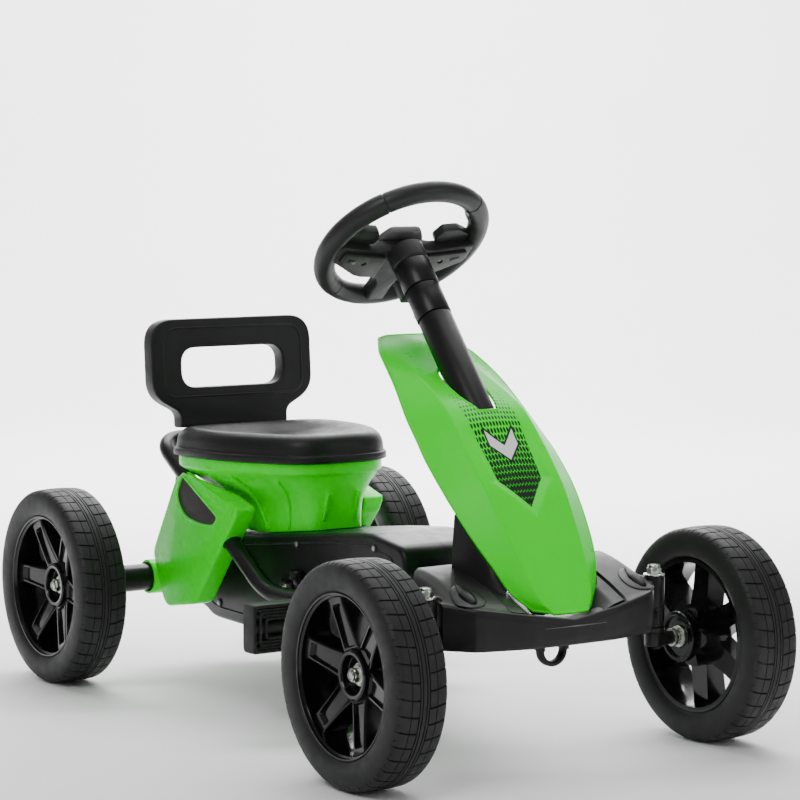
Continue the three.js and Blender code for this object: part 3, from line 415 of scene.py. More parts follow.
def hexnut(name, a, b, af, mat, flange=None, insert=None, bore=None):
    """flange nut: chamfered hexagon on a dished flange, with the lock ring showing"""
    a, b = np.array(a, float), np.array(b, float)
    L = np.linalg.norm(b - a)
    R = af / math.sqrt(3)
    T = to_axis(a, b - a)
    V, F = [], []
    lv = [(0.0, 0.93), (0.06, 1.0), (0.86, 1.0), (1.0, 0.86)]
    n = 48
    for h, k in lv:
        for i in range(n):
            th = 2 * math.pi * i / n
            hexr = R * math.cos(math.pi / 6) / math.cos((th % (math.pi / 3)) - math.pi / 6)
            circ = R * (0.955 if k < 1 else 1.0) * (k if k < 1 else 1)
            rr = min(hexr, circ) if k < 1 else hexr
            V.append((rr * math.cos(th), rr * math.sin(th), h * L))
    for j in range(len(lv) - 1):
        for i in range(n):
            i2 = (i + 1) % n
            F.append((j * n + i, j * n + i2, (j + 1) * n + i2, (j + 1) * n + i))
    F.append(tuple(reversed(range(n))))
    F.append(tuple(range((len(lv) - 1) * n, len(lv) * n)))
    parts = [make(name, T(np.array(V)), F, mat, 25)]
    if flange:
        fr, ft = flange
        parts.append(lathe(name + "_f", round_prof([(0, -0.2), (fr, -0.2), (fr, ft * 0.55), (R * 0.98, ft * 1.5), (0, ft * 1.5)], 0.4), 48, mat, T))
    if insert:
        ir, ih = insert
        parts.append(lathe(name + "_i", round_prof([(0, L * 0.9), (ir, L * 0.9), (ir, L + ih), (ir * 0.72, L + ih), (ir * 0.70, L + ih * 0.4), (0, L + ih * 0.4)], 0.4), 40, mat, T))
    return unite(name, parts)

def frames(pts, up=(0, 0, 1)):
    P = [np.array(p, float) for p in pts]
    out = []
    ref = np.array(up, float)
    for i in range(len(P)):
        ti = (P[i] - P[i - 1]) / np.linalg.norm(P[i] - P[i - 1]) if i else None
        to = (P[i + 1] - P[i]) / np.linalg.norm(P[i + 1] - P[i]) if i < len(P) - 1 else None
        t = ti + to if ti is not None and to is not None else (ti if ti is not None else to)
        t = t / np.linalg.norm(t)
        if abs(np.dot(ref, t)) > 0.97:
            ref = np.array((1.0, 0, 0))
        u = ref - np.dot(ref, t) * t
        u /= np.linalg.norm(u)
        v = np.cross(t, u)
        ref = u
        out.append((P[i], t, u, v))
    return out

def tube(name, pts, r, mat, sides=24, up=(0, 0, 1), cap=0.8):
    fr = frames(pts, up)
    V, F = [], []
    def ring(c, u, v, rr):
        s = len(V)
        for k in range(sides):
            a = 2 * math.pi * k / sides
            V.append(c + rr * (math.cos(a) * u + math.sin(a) * v))
        return s
    rows = []
    c, t, u, v = fr[0]
    rows.append(ring(c, u, v, r - cap)); rows.append(ring(c + t * cap, u, v, r))
    for c, t, u, v in fr[1:-1]:
        rows.append(ring(c, u, v, r))
    c, t, u, v = fr[-1]
    rows.append(ring(c - t * cap, u, v, r)); rows.append(ring(c, u, v, r - cap))
    for a, b in zip(rows[:-1], rows[1:]):
        for k in range(sides):
            k2 = (k + 1) % sides
            F.append((a + k, a + k2, b + k2, b + k))
    F.append(tuple(rows[0] + k for k in reversed(range(sides))))
    F.append(tuple(rows[-1] + k for k in range(sides)))
    return make(name, V, F, mat, 40)

def fillet(pts, radii, n=8):
    P = [np.array(p, float) for p in pts]
    out = [P[0]]
    for i in range(1, len(P) - 1):
        a = P[i - 1] - P[i]; b = P[i + 1] - P[i]
        r = radii[i]
        p0 = P[i] + a / np.linalg.norm(a) * r
        p1 = P[i] + b / np.linalg.norm(b) * r
        for k in range(n + 1):
            t = k / n
            out.append((1 - t) ** 2 * p0 + 2 * t * (1 - t) * P[i] + t * t * p1)
    out.append(P[-1])
    return out

def rpoly(points, r, n=6):
    out = []
    K = len(points)
    for i in range(K):
        p = np.array(points[i][:2], float)
        a = np.array(points[i - 1][:2], float) - p; b = np.array(points[(i + 1) % K][:2], float) - p
        want = points[i][2] if len(points[i]) > 2 else r
        rr = min(want, np.linalg.norm(a) * 0.47, np.linalg.norm(b) * 0.47)
        p0, p1 = p + a / np.linalg.norm(a) * rr, p + b / np.linalg.norm(b) * rr
        for k in range(n + 1):
            t = k / n
            out.append(tuple((1 - t) ** 2 * p0 + 2 * t * (1 - t) * p + t * t * p1))
    return out

def prism(name, poly, lo, hi, mat, axis="y", to=None, edge=1.0, seg=2, sm=35, ang=30):
    """outline extruded along an axis, its edges rounded"""
    V = []
    for h in (lo, hi):
        for a, b in poly:
            V.append({"y": (a, h, b), "z": (a, b, h), "x": (h, a, b)}[axis])
    n = len(poly)
    F = [tuple(range(n)), tuple(reversed(range(n, 2 * n)))]
    F += [(i, (i + 1) % n, n + (i + 1) % n, n + i) for i in range(n)]
    V = np.array(V, float)
    if to is not None:
        V = to(V)
    o = make(name, V, F, mat, sm)
    if edge:
        bevel(o, edge, seg, ang, sm)
    return o

def block(name, x0, x1, y0, y1, z0, z1, mat, edge=1.0, to=None):
    return prism(name, [(x0, y0), (x1, y0), (x1, y1), (x0, y1)], z0, z1, mat, "z", to, edge)

def grid_solid(name, G, thick, mat, sm=40, flip=False):
    """closed sheet from a grid of points (R x C x 3)"""
    G = np.array(G, float)
    du = np.gradient(G, axis=0); dv = np.gradient(G, axis=1)
    n = np.cross(du, dv); n /= np.linalg.norm(n, axis=2)[..., None] + 1e-12
    if flip: n = -n
    R, C = G.shape[:2]
    B = G - n * thick
    V = np.concatenate([G.reshape(-1, 3), B.reshape(-1, 3)])
    K = R * C
    F = []
    for i in range(R - 1):
        for j in range(C - 1):
            a, b, c, d = i * C + j, (i + 1) * C + j, (i + 1) * C + j + 1, i * C + j + 1
            F.append((a, b, c, d)); F.append((K + a, K + d, K + c, K + b))
    for j in range(C - 1):
        F.append((j, j + 1, K + j + 1, K + j))
        a = (R - 1) * C + j
        F.append((a + 1, a, K + a, K + a + 1))
    for i in range(R - 1):
        a = i * C
        F.append((a + C, a, K + a, K + a + C))
        a = i * C + C - 1
        F.append((a, a + C, K + a + C, K + a))
    return make(name, V, F, mat, sm)

def stack(name, rings, mat, sm=40):
    """closed body from rings of points; ends closed"""
    n = len(rings[0])
    V = [p for r in rings for p in r]
    F = []
    for i in range(len(rings) - 1):
        for k in range(n):
            k2 = (k + 1) % n
            F.append((i * n + k, i * n + k2, (i + 1) * n + k2, (i + 1) * n + k))
    F.append(tuple(reversed(range(n))))
    F.append(tuple(range((len(rings) - 1) * n, len(rings) * n)))
    return make(name, V, F, mat, sm)

def place(o, body, slot, *replaced):
    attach(o, body)
    if replaced:
        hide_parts(*replaced)
    return o

# ---------------------------------------------------------------------- wheels
WHEELS = {"front_left": (KX, TRF, 1, 30), "front_right": (KX, -TRF, -1, -13),
          "rear_left": (0, TRR, 1, 30), "rear_right": (0, -TRR, -1, -5)}
BODY = {"front_left": "wheel_front_left", "front_right": "wheel_front_right", "rear_left": "wheel_rear_left", "rear_right": "rear_axle"}

def wmap(x, y, s):
    def T(V):
        V = np.asarray(V, float)
        return np.stack([x + V[:, 0], y + s * V[:, 2], AX + V[:, 1]], axis=1)
    return T

def tyre(name, x, y, s):
    n = 42
    us = [0.0, 0.022, 0.045, 0.115, 0.14, 0.30, 0.42, 0.455, 0.505, 0.54, 0.66, 0.83]
    half = [(0, 0), (1.9, 0), (2.25, 1), (2.9, 1), (3.25, 0), (5.3, 0), (5.6, 1), (6.4, 1), (6.7, 0), (7.6, 2), (11, 2), (15.2, 2), (15.45, 3), (15.95, 3), (16.2, 2), (20, 2), (24, 2), (26.2, 2),
            (27.1, 4), (28.2, 5), (29.3, 5), (30.2, 4)]
    cols = [(-h, k) for h, k in reversed(half[1:])] + half
    def crown(h):
        a = abs(h)
        r = 125 - 0.0022 * a * a
        if a > 24:
            r -= 0.085 * (a - 24) ** 2
        return r
    side = [(31.3, 117.0), (32.2, 113.2), (32.75, 108), (32.55, 102), (31.6, 96.5), (30.4, 93.4), (28.9, 91.9), (27.0, 91.0)]
    rows = []
    th = [(i + u) * 2 * math.pi / n for i in range(n) for u in us]
    uu = [u for i in range(n) for u in us]
    prof = [(-h, r, 9) for h, r in reversed(side)] + [(h, crown(h), k) for h, k in cols] + [(h, r, 9) for h, r in side]
    P = np.array([(h, r, k) for h, r, k in prof])
    V = np.zeros((len(th), len(P), 3))
    pitch = 2 * math.pi / n
    h = P[:, 0]; a = np.abs(h)
    sm = np.clip((h + 6) / 12, 0, 1); sm = sm * sm * (3 - 2 * sm)
    shift = pitch * (0.5 * sm + 0.22 * np.clip((a - 7) / 22, 0, 1) ** 1.6)
    for i, (t, u) in enumerate(zip(th, uu)):
        r = P[:, 1].copy()
        for j, k in enumerate(P[:, 2]):
            if k == 1: r[j] -= 1.3
            elif k == 3: r[j] -= 1.0
            if k in (2, 3) and u in (0.045, 0.115): r[j] = P[j, 1] - 2.3
            if k == 4 and u in (0.045, 0.115): r[j] -= 1.1
            if k == 5 and u in (0.045, 0.115, 0.455, 0.505): r[j] -= 1.0
        ang = t + shift
        V[i, :, 0] = r * np.cos(ang); V[i, :, 1] = r * np.sin(ang); V[i, :, 2] = h
    C = len(P); R = len(th)
    F = []
    for i in range(R):
        i2 = (i + 1) % R
        for j in range(C):
            j2 = (j + 1) % C
            F.append((i * C + j, i * C + j2, i2 * C + j2, i2 * C + j))
    return make(name, wmap(x, y, s)(V.reshape(-1, 3)), F, m_foam, 28)

def ring_solid(name, rings, mat, T, sm=40):
    n = len(rings[0])
    V = T(np.array([p for r in rings for p in r], float))
    F = []
    for i in range(len(rings) - 1):
        for k in range(n):
            k2 = (k + 1) % n
            F.append((i * n + k, i * n + k2, (i + 1) * n + k2, (i + 1) * n + k))
    F.append(tuple(reversed(range(n))))
    F.append(tuple(range((len(rings) - 1) * n, len(rings) * n)))
    return make(name, V, F, mat, sm)

def rim(name, x, y, s, phase):
    T = wmap(x, y, s)
    parts = []
    # barrel with rolled lips and a drop in the middle
    barrel = [(84.6, -28.3), (86.5, -28.5), (90.2, -28.5), (90.7, -28.0), (90.7, -26.5), (90.7, 26.5), (90.7, 28.0), (90.2, 28.5), (88.8, 28.5), (88.0, 28.0),
              (87.6, 26.6), (86.4, 25.8), (85.4, 24.6), (84.6, 18), (83.2, 4), (82.6, -4), (83.2, -12)]
    parts.append(lathe(name + "_b", barrel, 96, m_rim, T, 32))
    # hub: cone, dished face with a recess for the nut, recess for the inner bearing
    hub = [(13.4, 4.0), (14.2, 3.4), (20.2, 3.4), (21.0, 4.2), (21.4, 12.4), (22.2, 13.6), (25.6, 14.0), (27.6, 12.6), (29.2, 8.0), (31.6, 3.4), (33.4, 0), (33.5, -2.0), (31.8, -22), (29.6, -46.6),
           (28.6, -48.0), (25.2, -48.0), (24.2, -47.2), (23.6, -44.2), (13.6, -44.0), (13.4, -43.0)]
    parts.append(lathe(name + "_h", hub, 64, m_rim, T, 30))
    for k in range(6):
        a = math.radians(phase + k * 60)
        c, sn = math.cos(a), math.sin(a)
        def sec(r, w, lo, hi, ch, cw, chb=1.2):
            # cross-section of the spoke: box with rounded shoulders and a channel in its outer face
            e = min(2.2, w * 0.2)
            pts = [(-w, lo), (-w - 0.0, hi - e), (-w + 0.35 * e, hi - 0.35 * e), (-w + e, hi), (-cw - chb, hi), (-cw, hi - ch), (cw, hi - ch), (cw + chb, hi), (w - e, hi), (w - 0.35 * e, hi - 0.35 * e), (w, hi - e), (w, lo)]
            return [(r * c - p * sn, r * sn + p * c, h) for p, h in pts]
        rs = [(22.0, 17.0, -16, 7.4, 0.05, 10.0), (30.0, 15.8, -16, 9.4, 0.05, 10.0), (32.0, 15.5, -15.6, 9.9, 3.2, 9.6), (44.0, 14.2, -14, 12.4, 3.6, 8.8), (58.0, 13.4, -12.6, 15.0, 3.8, 8.2),
              (70.0, 13.0, -11.8, 17.2, 4.2, 7.8), (75.5, 12.8, -11.4, 18.2, 4.6, 7.2), (78.0, 12.8, -11.2, 18.6, 0.1, 6.4), (82.4, 13.2, -11.0, 19.2, 0.05, 6.4), (84.8, 14.8, -11.0, 20.0, 0.05, 6.4)]
        # raised bead around the channel
        rings = [sec(*q) for q in rs]
        parts.append(ring_solid(name + f"_s{k}", rings, m_rim, T, 24))
        # web between neighbouring spokes, set back from the face
        a2 = a + math.radians(30)
        c2, s2 = math.cos(a2), math.sin(a2)
        def web(r, w, lo, hi):
            pts = [(-w, lo), (-w, hi), (w, hi), (w, lo)]
            return [(r * c2 - p * s2, r * s2 + p * c2, h) for p, h in pts]
        parts.append(ring_solid(name + f"_w{k}", [web(24, 14, -40, 2.5), web(33.0, 9, -38, -1.5), web(37.5, 3.2, -34, -5)], m_rim, T, 24))
    o = unite(name, parts, m_rim, 26)
    return o

def lock_nut(name, x, y, s):
    T = lambda V: wmap(x, y, s)(np.asarray(V, float))
    z0 = np.array([x, y + s * 4.3, AX]); d = np.array([0, s, 0.0])
    washer = lathe(name + "_w", round_prof([(0, 4.3), (11, 4.3), (11, 5.9), (8.6, 6.3), (0, 6.3)], 0.35), 48, m_zinc, T)
    nut = hexnut(name + "_n", np.array([x, y + s * 6.0, AX]), np.array([x, y + s * 12.6, AX]), 15, m_zinc)
    dome = lathe(name + "_d", [(0, 12.0), (6.2, 12.0), (6.6, 12.8), (6.3, 14.2), (5.4, 15.0), (4.9, 15.2), (4.6, 14.6), (4.5, 13.6), (0, 13.6)], 40, m_zinc, T)
    end = lathe(name + "_e", round_prof([(0, 12.4), (4.35, 12.4), (4.35, 14.3), (0, 14.3)], 0.7), 32, m_steel, T)
    return unite(name, [washer, nut, dome, end])

for tag, (wx, wy, ws, wph) in WHEELS.items():
    b = BODY[tag]
    place(tyre(f"tread_{tag}", wx, wy, ws), b, "foam_tyre", f"tyre_{tag}")
    place(rim(f"spoked_rim_{tag}", wx, wy, ws, wph), b, "rim_gloss_black", f"wheel_rim_{tag}")
    # wheel nuts: the rear axle carries both of its nuts
    nb = {"front_left": "knuckle_left", "front_right": "knuckle_right"}.get(tag, "rear_axle")
    place(lock_nut(f"lock_nut_{tag}", wx, wy, ws), nb, "zinc_plate", f"wheel_nut_{tag}")
    if tag != "rear_right":
        T = wmap(wx, wy, ws)
        bear = [(6.6, -46.6), (7.2, -47.0), (9.6, -47.0), (10.0, -46.3), (11.6, -46.3), (12.0, -47.0), (12.4, -47.0), (12.7, -46.6), (12.7, 3.2), (12.4, 3.6), (11.4, 3.6), (11.0, 2.9), (9.2, 2.9), (8.8, 3.6), (7.0, 3.6), (6.6, 3.2)]
        place(lathe(f"bearing_{tag}", bear, 48, m_zinc, T, 28), b, "zinc_plate", f"hub_bearing_{tag}")

# ------------------------------------------------------------------- seat loop
half = [(721.7, 38, 151), (640, 42, 150), (420, 90, 142), (284, 95, 141), (4, 92, 306)]
P = [np.array(p, float) for p in half]
rad_ = [0, 30, 40, 30, 34]
loop = [(x, y, z) for x, y, z in half] + [(x, -y, z) for x, y, z in reversed(half)]
place(tube("seat_loop", fillet(loop, rad_ + rad_[::-1], 12), 11, m_paint, 32, cap=0.6), "root", "frame_paint", "frame_loop_tube")

# ------------------------------------------------------------------- rear axle
def housing(sd, tag):
    parts = [pipe("h", (0, sd * 60.3, AX), (0, sd * 184, AX), 17.5, 13.0, m_paint, 56, 0.8)]
    plate = rpoly([(-22, 104), (24, 104), (62, 244), (34, 266), (14, 262)], 8, 6)
    parts.append(prism("p", plate, *sorted((sd * 70, sd * 75)), m_paint, "y", None, 0.8))
    # weld bead round the joint
    bead = [(18.8 * math.cos(a), 18.8 * math.sin(a)) for a in np.linspace(0, 2 * math.pi, 41)[:-1]]
    r = []
    for i, (bx, bz) in enumerate(bead):
        r.append((bx, sd * 75.6, AX + bz))
    parts.append(tube("w", r + [r[0]], 1.7, m_paint, 8, (0, 1, 0), 0.2))
    # pressed collar at the outer end
    parts.append(pipe("c", (0, sd * 176, AX), (0, sd * 184, AX), 17.9, 12.9, m_paint, 56, 0.7))
    return unite(f"axle_tube_{tag}", parts)
for tag, sd in (("left", 1), ("right", -1)):
    place(housing(sd, tag), "root", "frame_paint", f"rear_axle_housing_{tag}")

# --------------------------------------------------------------------- fairing
def catmull(P, n):
    P = np.array(P, float)
    out = []
    K = len(P)
    for i in range(K - 1):
        p0 = P[i - 1] if i else 2 * P[0] - P[1]
        p1, p2 = P[i], P[i + 1]
        p3 = P[i + 2] if i + 2 < K else 2 * P[-1] - P[-2]
        for k in range(n):
            t = k / n
            out.append(0.5 * (2 * p1 + (p2 - p0) * t + (2 * p0 - 5 * p1 + 4 * p2 - p3) * t * t + (3 * p1 - p0 - 3 * p2 + p3) * t ** 3))
    out.append(P[-1])
    return np.array(out)

FC = [[448, 466], [478, 457], [515, 441], [560, 423], [600, 405], [626, 390], [656, 360], [700, 311], [735, 263], [762, 222], [781, 193], [790, 179]]
FE = [[462, 42, 464], [490, 59, 452], [515, 67, 438], [548, 75, 415], [584, 83, 382], [612, 86.8, 357.5], [636, 89.5, 336], [673, 88, 301], [711, 80, 260], [738, 70, 229], [755, 58, 201], [772, 40, 181]]
SHIELD = [(552, 33), (600, 36), (640, 35.5), (690, 31), (714, 0.01)]
def shield_hw(x):
    return np.interp(x, [p[0] for p in SHIELD], [p[1] for p in SHIELD], left=33, right=-60)

def fairing():
    C = catmull(FC, 18); E = catmull(FE, 18)
    fs = np.concatenate([np.linspace(0, 0.56, 34), np.linspace(0.575, 0.64, 6), np.linspace(0.66, 1, 18)])
    fs = np.concatenate([-fs[:0:-1], fs])
    G = np.zeros((len(C), len(fs), 3))
    for j, f0 in enumerate(fs):
        f = abs(f0); s = np.sign(f0)
        lo = f * f * 0.25
        hi = 0.09 + (f - 0.6) * (0.91 / 0.4)
        k = 0.014
        d = hi - lo
        q = lo + 0.5 * (d + math.sqrt(d * d + k * k)) if f > 0.3 else lo
        q = min(q, 1.0) if f >= 1 else q
        G[:, j, 0] = C[:, 0] + (E[:, 0] - C[:, 0]) * q
        G[:, j, 1] = s * E[:, 1] * f
        G[:, j, 2] = C[:, 1] + (E[:, 2] - C[:, 1]) * q
    # sunk panel that carries the shield, deepest at its point
    du = np.gradient(G, axis=0); dv = np.gradient(G, axis=1)
    n = np.cross(du, dv); n /= np.linalg.norm(n, axis=2)[..., None] + 1e-12
    if n[60, len(fs) // 2, 2] < 0: n = -n
    X, Y = G[..., 0], np.abs(G[..., 1])
    hw = shield_hw(X)
    # distance outside the shield, measured across the nearest side
    side = Y - hw
    tip = ((X - 714) * 31 + Y * 24) / math.hypot(31, 24)
    dist = np.where(X > 680, np.maximum(np.minimum(side, 40), tip), side)
    dist = np.where(X > 690, tip, dist)
    wall = 11.0
    t = np.clip(1 - dist / wall, 0, 1)
    t = t * t * (3 - 2 * t)
    depth = np.interp(X, [560, 640, 655, 700], [0.0, 0.0, 2.6, 4.6])
    G = G - n * (t * depth)[..., None]
    # soft facet down each flank
    o = grid_solid("f", G, 3.0, None, 34, flip=False)
    m = o.data
    # rolled edge all round
    B = G - n * 1.5
    rim_pts = [B[i, 0] for i in range(0, len(C), 3)] + [B[-1, j] for j in range(1, len(fs), 3)] + [B[i, -1] for i in range(len(C) - 1, -1, -3)] + [B[0, j] for j in range(len(fs) - 2, 0, -3)]
    bead = []
    fr = rim_pts + [rim_pts[0]]
    a = on_axis(257.5); b = on_axis(60)
    slot = [lathe("c1", [(0, 0), (23, 0), (23, 197.5), (0, 197.5)], 64, None, to_axis(a, b - a))]
    boolean(o, slot, sm=34)
    r = tube("r", fr, 2.1, None, 10, (0, 0, 1), 0.2)
    # rolled edge of the slot for the column
    edge = []
    mid = len(fs) // 2
    surf = lambda x, y: None
    P0 = G.reshape(-1, 3)
    def zat(x, y):
        d = (P0[:, 0] - x) ** 2 + (P0[:, 1] - y) ** 2
        i = np.argsort(d)[:4]
        w = 1 / (d[i] + 1e-3)
        return float((P0[i, 2] * w).sum() / w.sum())
    ax_d = (b - a) / np.linalg.norm(b - a)
    # where the cylinder meets the shell
    pts = []
    for k in range(64):
        th = 2 * math.pi * (k / 64)
        yy = -23.9 * math.cos(th)
        off = 23.9 * math.sin(th)
        # point on the cylinder's front side: axis point + off * local -X direction (forward and down)
        u = np.array([-math.cos(TILT), 0, -math.sin(TILT)]) * 0 + np.array([math.cos(TILT), 0, math.sin(TILT)]) * off
        lo_t, hi_t = 60.0, 258.4
        for _ in range(30):
            tm = (lo_t + hi_t) / 2
            p = on_axis(tm) + u + np.array([0, yy, 0])
            if p[2] > zat(p[0], p[1]) - 1.2: lo_t = tm
            else: hi_t = tm
        p = on_axis(lo_t) + u + np.array([0, yy, 0])
        if lo_t > 258.3:
            # foot of the hole: square across the end of the head tube
            o0, o1 = -24.0, off
            for _ in range(30):
                om = (o0 + o1) / 2
                p = on_axis(258.4) + np.array([math.cos(TILT), 0, math.sin(TILT)]) * om + np.array([0, yy, 0])
                if p[2] > zat(p[0], p[1]) - 1.2: o1 = om
                else: o0 = om
        pts.append(p)
    lip = tube("l", pts + [pts[0]], 1.9, None, 10, (0, 0, 1), 0.05)
    return unite("nose_fairing", [o, r, lip], m_nose, 34)

def nose_material():
    m, t, b = nt("nose_green")
    co_ = coords(t)
    sep = N(t, "ShaderNodeSeparateXYZ"); link(t, co_, sep.inputs[0])
    x, y = sep.outputs["X"], sep.outputs["Y"]
    xm = math_n(t, "MULTIPLY_ADD", x, 1000.0, X0)          # mm from the rear axle
    ym = math_n(t, "MULTIPLY", y, 1000.0)
    ay = math_n(t, "ABSOLUTE", ym)
    # half width of the shield at this station
    fac = maprange(t, xm, 552, 714, 0, 1)
    pts = [((px - 552) / 162, (hw / 50,) * 3) for px, hw in SHIELD]
    hw = ramp(t, fac, pts)
    hwv = math_n(t, "MULTIPLY", hw, 50.0)
    inside = math_n(t, "LESS_THAN", ay, math_n(t, "SUBTRACT", hwv, 1.2))
    inside = math_n(t, "MULTIPLY", inside, math_n(t, "LESS_THAN", xm, 713.0))
    inside = math_n(t, "MULTIPLY", inside, math_n(t, "GREATER_THAN", xm, 596.0))
    # dots
    u = math_n(t, "DIVIDE", xm, 5.6)
    v = math_n(t, "DIVIDE", ym, 4.4)
    par = math_n(t, "MULTIPLY", math_n(t, "MODULO", math_n(t, "FLOOR", u), 2.0), 0.5)
    du = math_n(t, "SUBTRACT", math_n(t, "FRACT", u), 0.5)
    dv = math_n(t, "SUBTRACT", math_n(t, "FRACT", math_n(t, "ADD", math_n(t, "ADD", v, par), 40.0)), 0.5)
    du = math_n(t, "MULTIPLY", du, 0.85)
    dd = math_n(t, "SQRT", math_n(t, "ADD", math_n(t, "MULTIPLY", du, du), math_n(t, "MULTIPLY", dv, dv)))
    R = ramp(t, maprange(t, xm, 590, 712, 0, 1), [(0.0, (0.10,) * 3), (0.3, (0.26,) * 3), (0.55, (0.40,) * 3), (0.8, (0.50,) * 3), (1.0, (0.56,) * 3)])
    dark = math_n(t, "MULTIPLY", math_n(t, "LESS_THAN", dd, R), inside)
    # plain white chevron with a dark border
    tt = math_n(t, "SUBTRACT", math_n(t, "ADD", xm, math_n(t, "MULTIPLY", ay, 0.75)), 660.0)
    def band(lo, hi, w):
        a_ = math_n(t, "MULTIPLY", math_n(t, "GREATER_THAN", tt, lo), math_n(t, "LESS_THAN", tt, hi))
        return math_n(t, "MULTIPLY", a_, math_n(t, "LESS_THAN", ay, w))
    white = band(0.0, 13.0, 19.0)
    border = band(-2.4, 15.4, 21.0)
    n1 = noise(t, 7, 2, 0.5, co_)
    g = ramp(t, n1.outputs["Fac"], [(0.3, tuple(c * 0.95 for c in GREEN)), (0.7, tuple(min(1, c * 1.04) for c in GREEN))])
    c = mixc(t, dark, g, (0.016, 0.022, 0.016))
    c = mixc(t, border, c, (0.02, 0.025, 0.02))
    c = mixc(t, white, c, (0.78, 0.78, 0.78))
    link(t, c, b.inputs["Base Color"])
    n2 = noise(t, 50, 3, 0.6, co_)
    link(t, maprange(t, n2.outputs["Fac"], 0.3, 0.7, 0.26, 0.34), b.inputs["Roughness"])
    b.inputs["Specular IOR Level"].default_value = 0.18
    n3 = noise(t, 12, 2, 0.5, co_)
    link(t, bump(t, b, n3.outputs["Fac"], 0.05, 0.002), b.inputs["Normal"])
    return m
m_nose = nose_material()
place(fairing(), "root", "green_shell", "front_fairing")

# ---------------------------------------------------------------------- bumper
def plan(y):
    a = abs(y)
    pts = [(0, 800), (56, 798.4), (64, 796.8), (112, 784.6), (120, 781), (128, 772.5), (145, 751)]
    return float(np.interp(a, [p[0] for p in pts], [p[1] for p in pts]))
def ztop(a): return float(np.interp(a, [0, 126, 134, 141, 145], [224, 223, 216, 205, 196]))
def deck_z(x, y):
    a = abs(y); xf = plan(y)
    xr = 672 + max(0, a - 130) * 1.2
    t = min(1, max(0, (x - xr) / (xf - 6 - xr)))
    zt = ztop(a); zF = 168 + a * 0.16
    return zt + (zF + 4 - zt) * t ** 1.5
def bumper():
    ys = sorted(set([round(v, 2) for v in list(np.linspace(-145, 145, 117)) + [s * k for s in (-1, 1) for k in (74.5, 77.5, 46, 48, 50)]]))
    G = []
    for y in ys:
        a = abs(y); xf = plan(y); zF = 168 + a * 0.16; zB = 143
        centre = 1 - np.clip((a - 74) / 5, 0, 1)
        xr_c = min(xf - 22, 778 - (0 if a < 60 else (a - 60) * 2))
        xr_s = 672 + max(0, a - 130) * 1.2
        xr = xr_s + (xr_c - xr_s) * centre
        row = []
        for t in np.linspace(0, 1, 15):
            x = xr + (xf - 6 - xr) * t
            zc = zF + (1 - t) * 3
            zs = deck_z(x, y)
            row.append((x, y, zs + (zc - zs) * centre))
        # rounded nose and a face undercut at the foot; the slight belly of the face is not modelled
        for ang in (18, 38, 58, 78):
            r = 6.0
            row.append((xf - r + r * math.sin(math.radians(ang)) , y, zF - 2 + r * math.cos(math.radians(ang)) - 0.0))
        dent = 0.0
        for t in (0.12, 0.3, 0.5, 0.7, 0.85, 0.95, 1.0):
            z = (zF - 3) + (zB - (zF - 3)) * t
            row.append((xf - 0.0 - 4.0 * max(0, t - 0.72) ** 2 * 12, y, z))
        G.append(row)
    o = grid_solid("b", np.array(G), 3.0, None, 30, flip=True)
    bm = bmesh.new(); bm.from_mesh(o.data)
    if bm.calc_volume(signed=True) < 0:
        bmesh.ops.reverse_faces(bm, faces=bm.faces)
    bm.to_mesh(o.data); bm.free()
    parts = [o]
    for s in (-1, 1):
        w = rpoly([(684, 162), (724, 162), (752, 146), (751, 186), (740, 200), (684, 204)], 4, 4)
        parts.append(prism("w", w, *sorted((s * 138, s * 141)), None, "y", None, 0.7))
    # lowered deck under the edge of the fairing
    for s in (-1, 1):
        H = []
        for y in np.linspace(s * 37, s * 77, 17):
            a = abs(y); xf = plan(y); row = []
            xr = 722 + max(0, 44 - a) * 6
            for t in np.linspace(0, 1, 13):
                x = xr + (xf - 10 - xr) * t
                uu = min(1, max(0, (x - 672) / (xf - 6 - 672)))
                row.append((x, y, deck_z(x, y) - 1.0 - (1.5 + max(0, 60 - a) * 0.6) * (1 - uu ** 14)))
            H.append(row)
        parts.append(grid_solid("inf", np.array(H), 2.5, None, 30, flip=(s > 0)))
        # upright cowl that closes the side under the fairing's edge
        C = []
        for x in np.linspace(684, 750, 15):
            w = float(np.interp(x, [673, 711, 738, 755, 772], [88, 80, 70, 58, 40]))
            e = float(np.interp(x, [673, 711, 738, 755, 772], [301, 260, 229, 201, 181]))
            zd = deck_z(x, w + 3)
            C.append([(x, s * (w - 3), e - 7), (x, s * (w - 0.5), e - 9), (x, s * (w + 1.5), (e - 9 + zd) / 2), (x, s * (w + 3), zd - 3)])
        parts.append(grid_solid("cow", np.array(C), 2.0, None, 40, flip=(s < 0)))
    # floor of the nose under the tip of the fairing
    parts.append(prism("nf", rpoly([(738, -40), (790, -44), (790, 44), (738, 40)], 2, 2), 165.5, 168.0, None, "z", None, 0.5))
    return parts, G

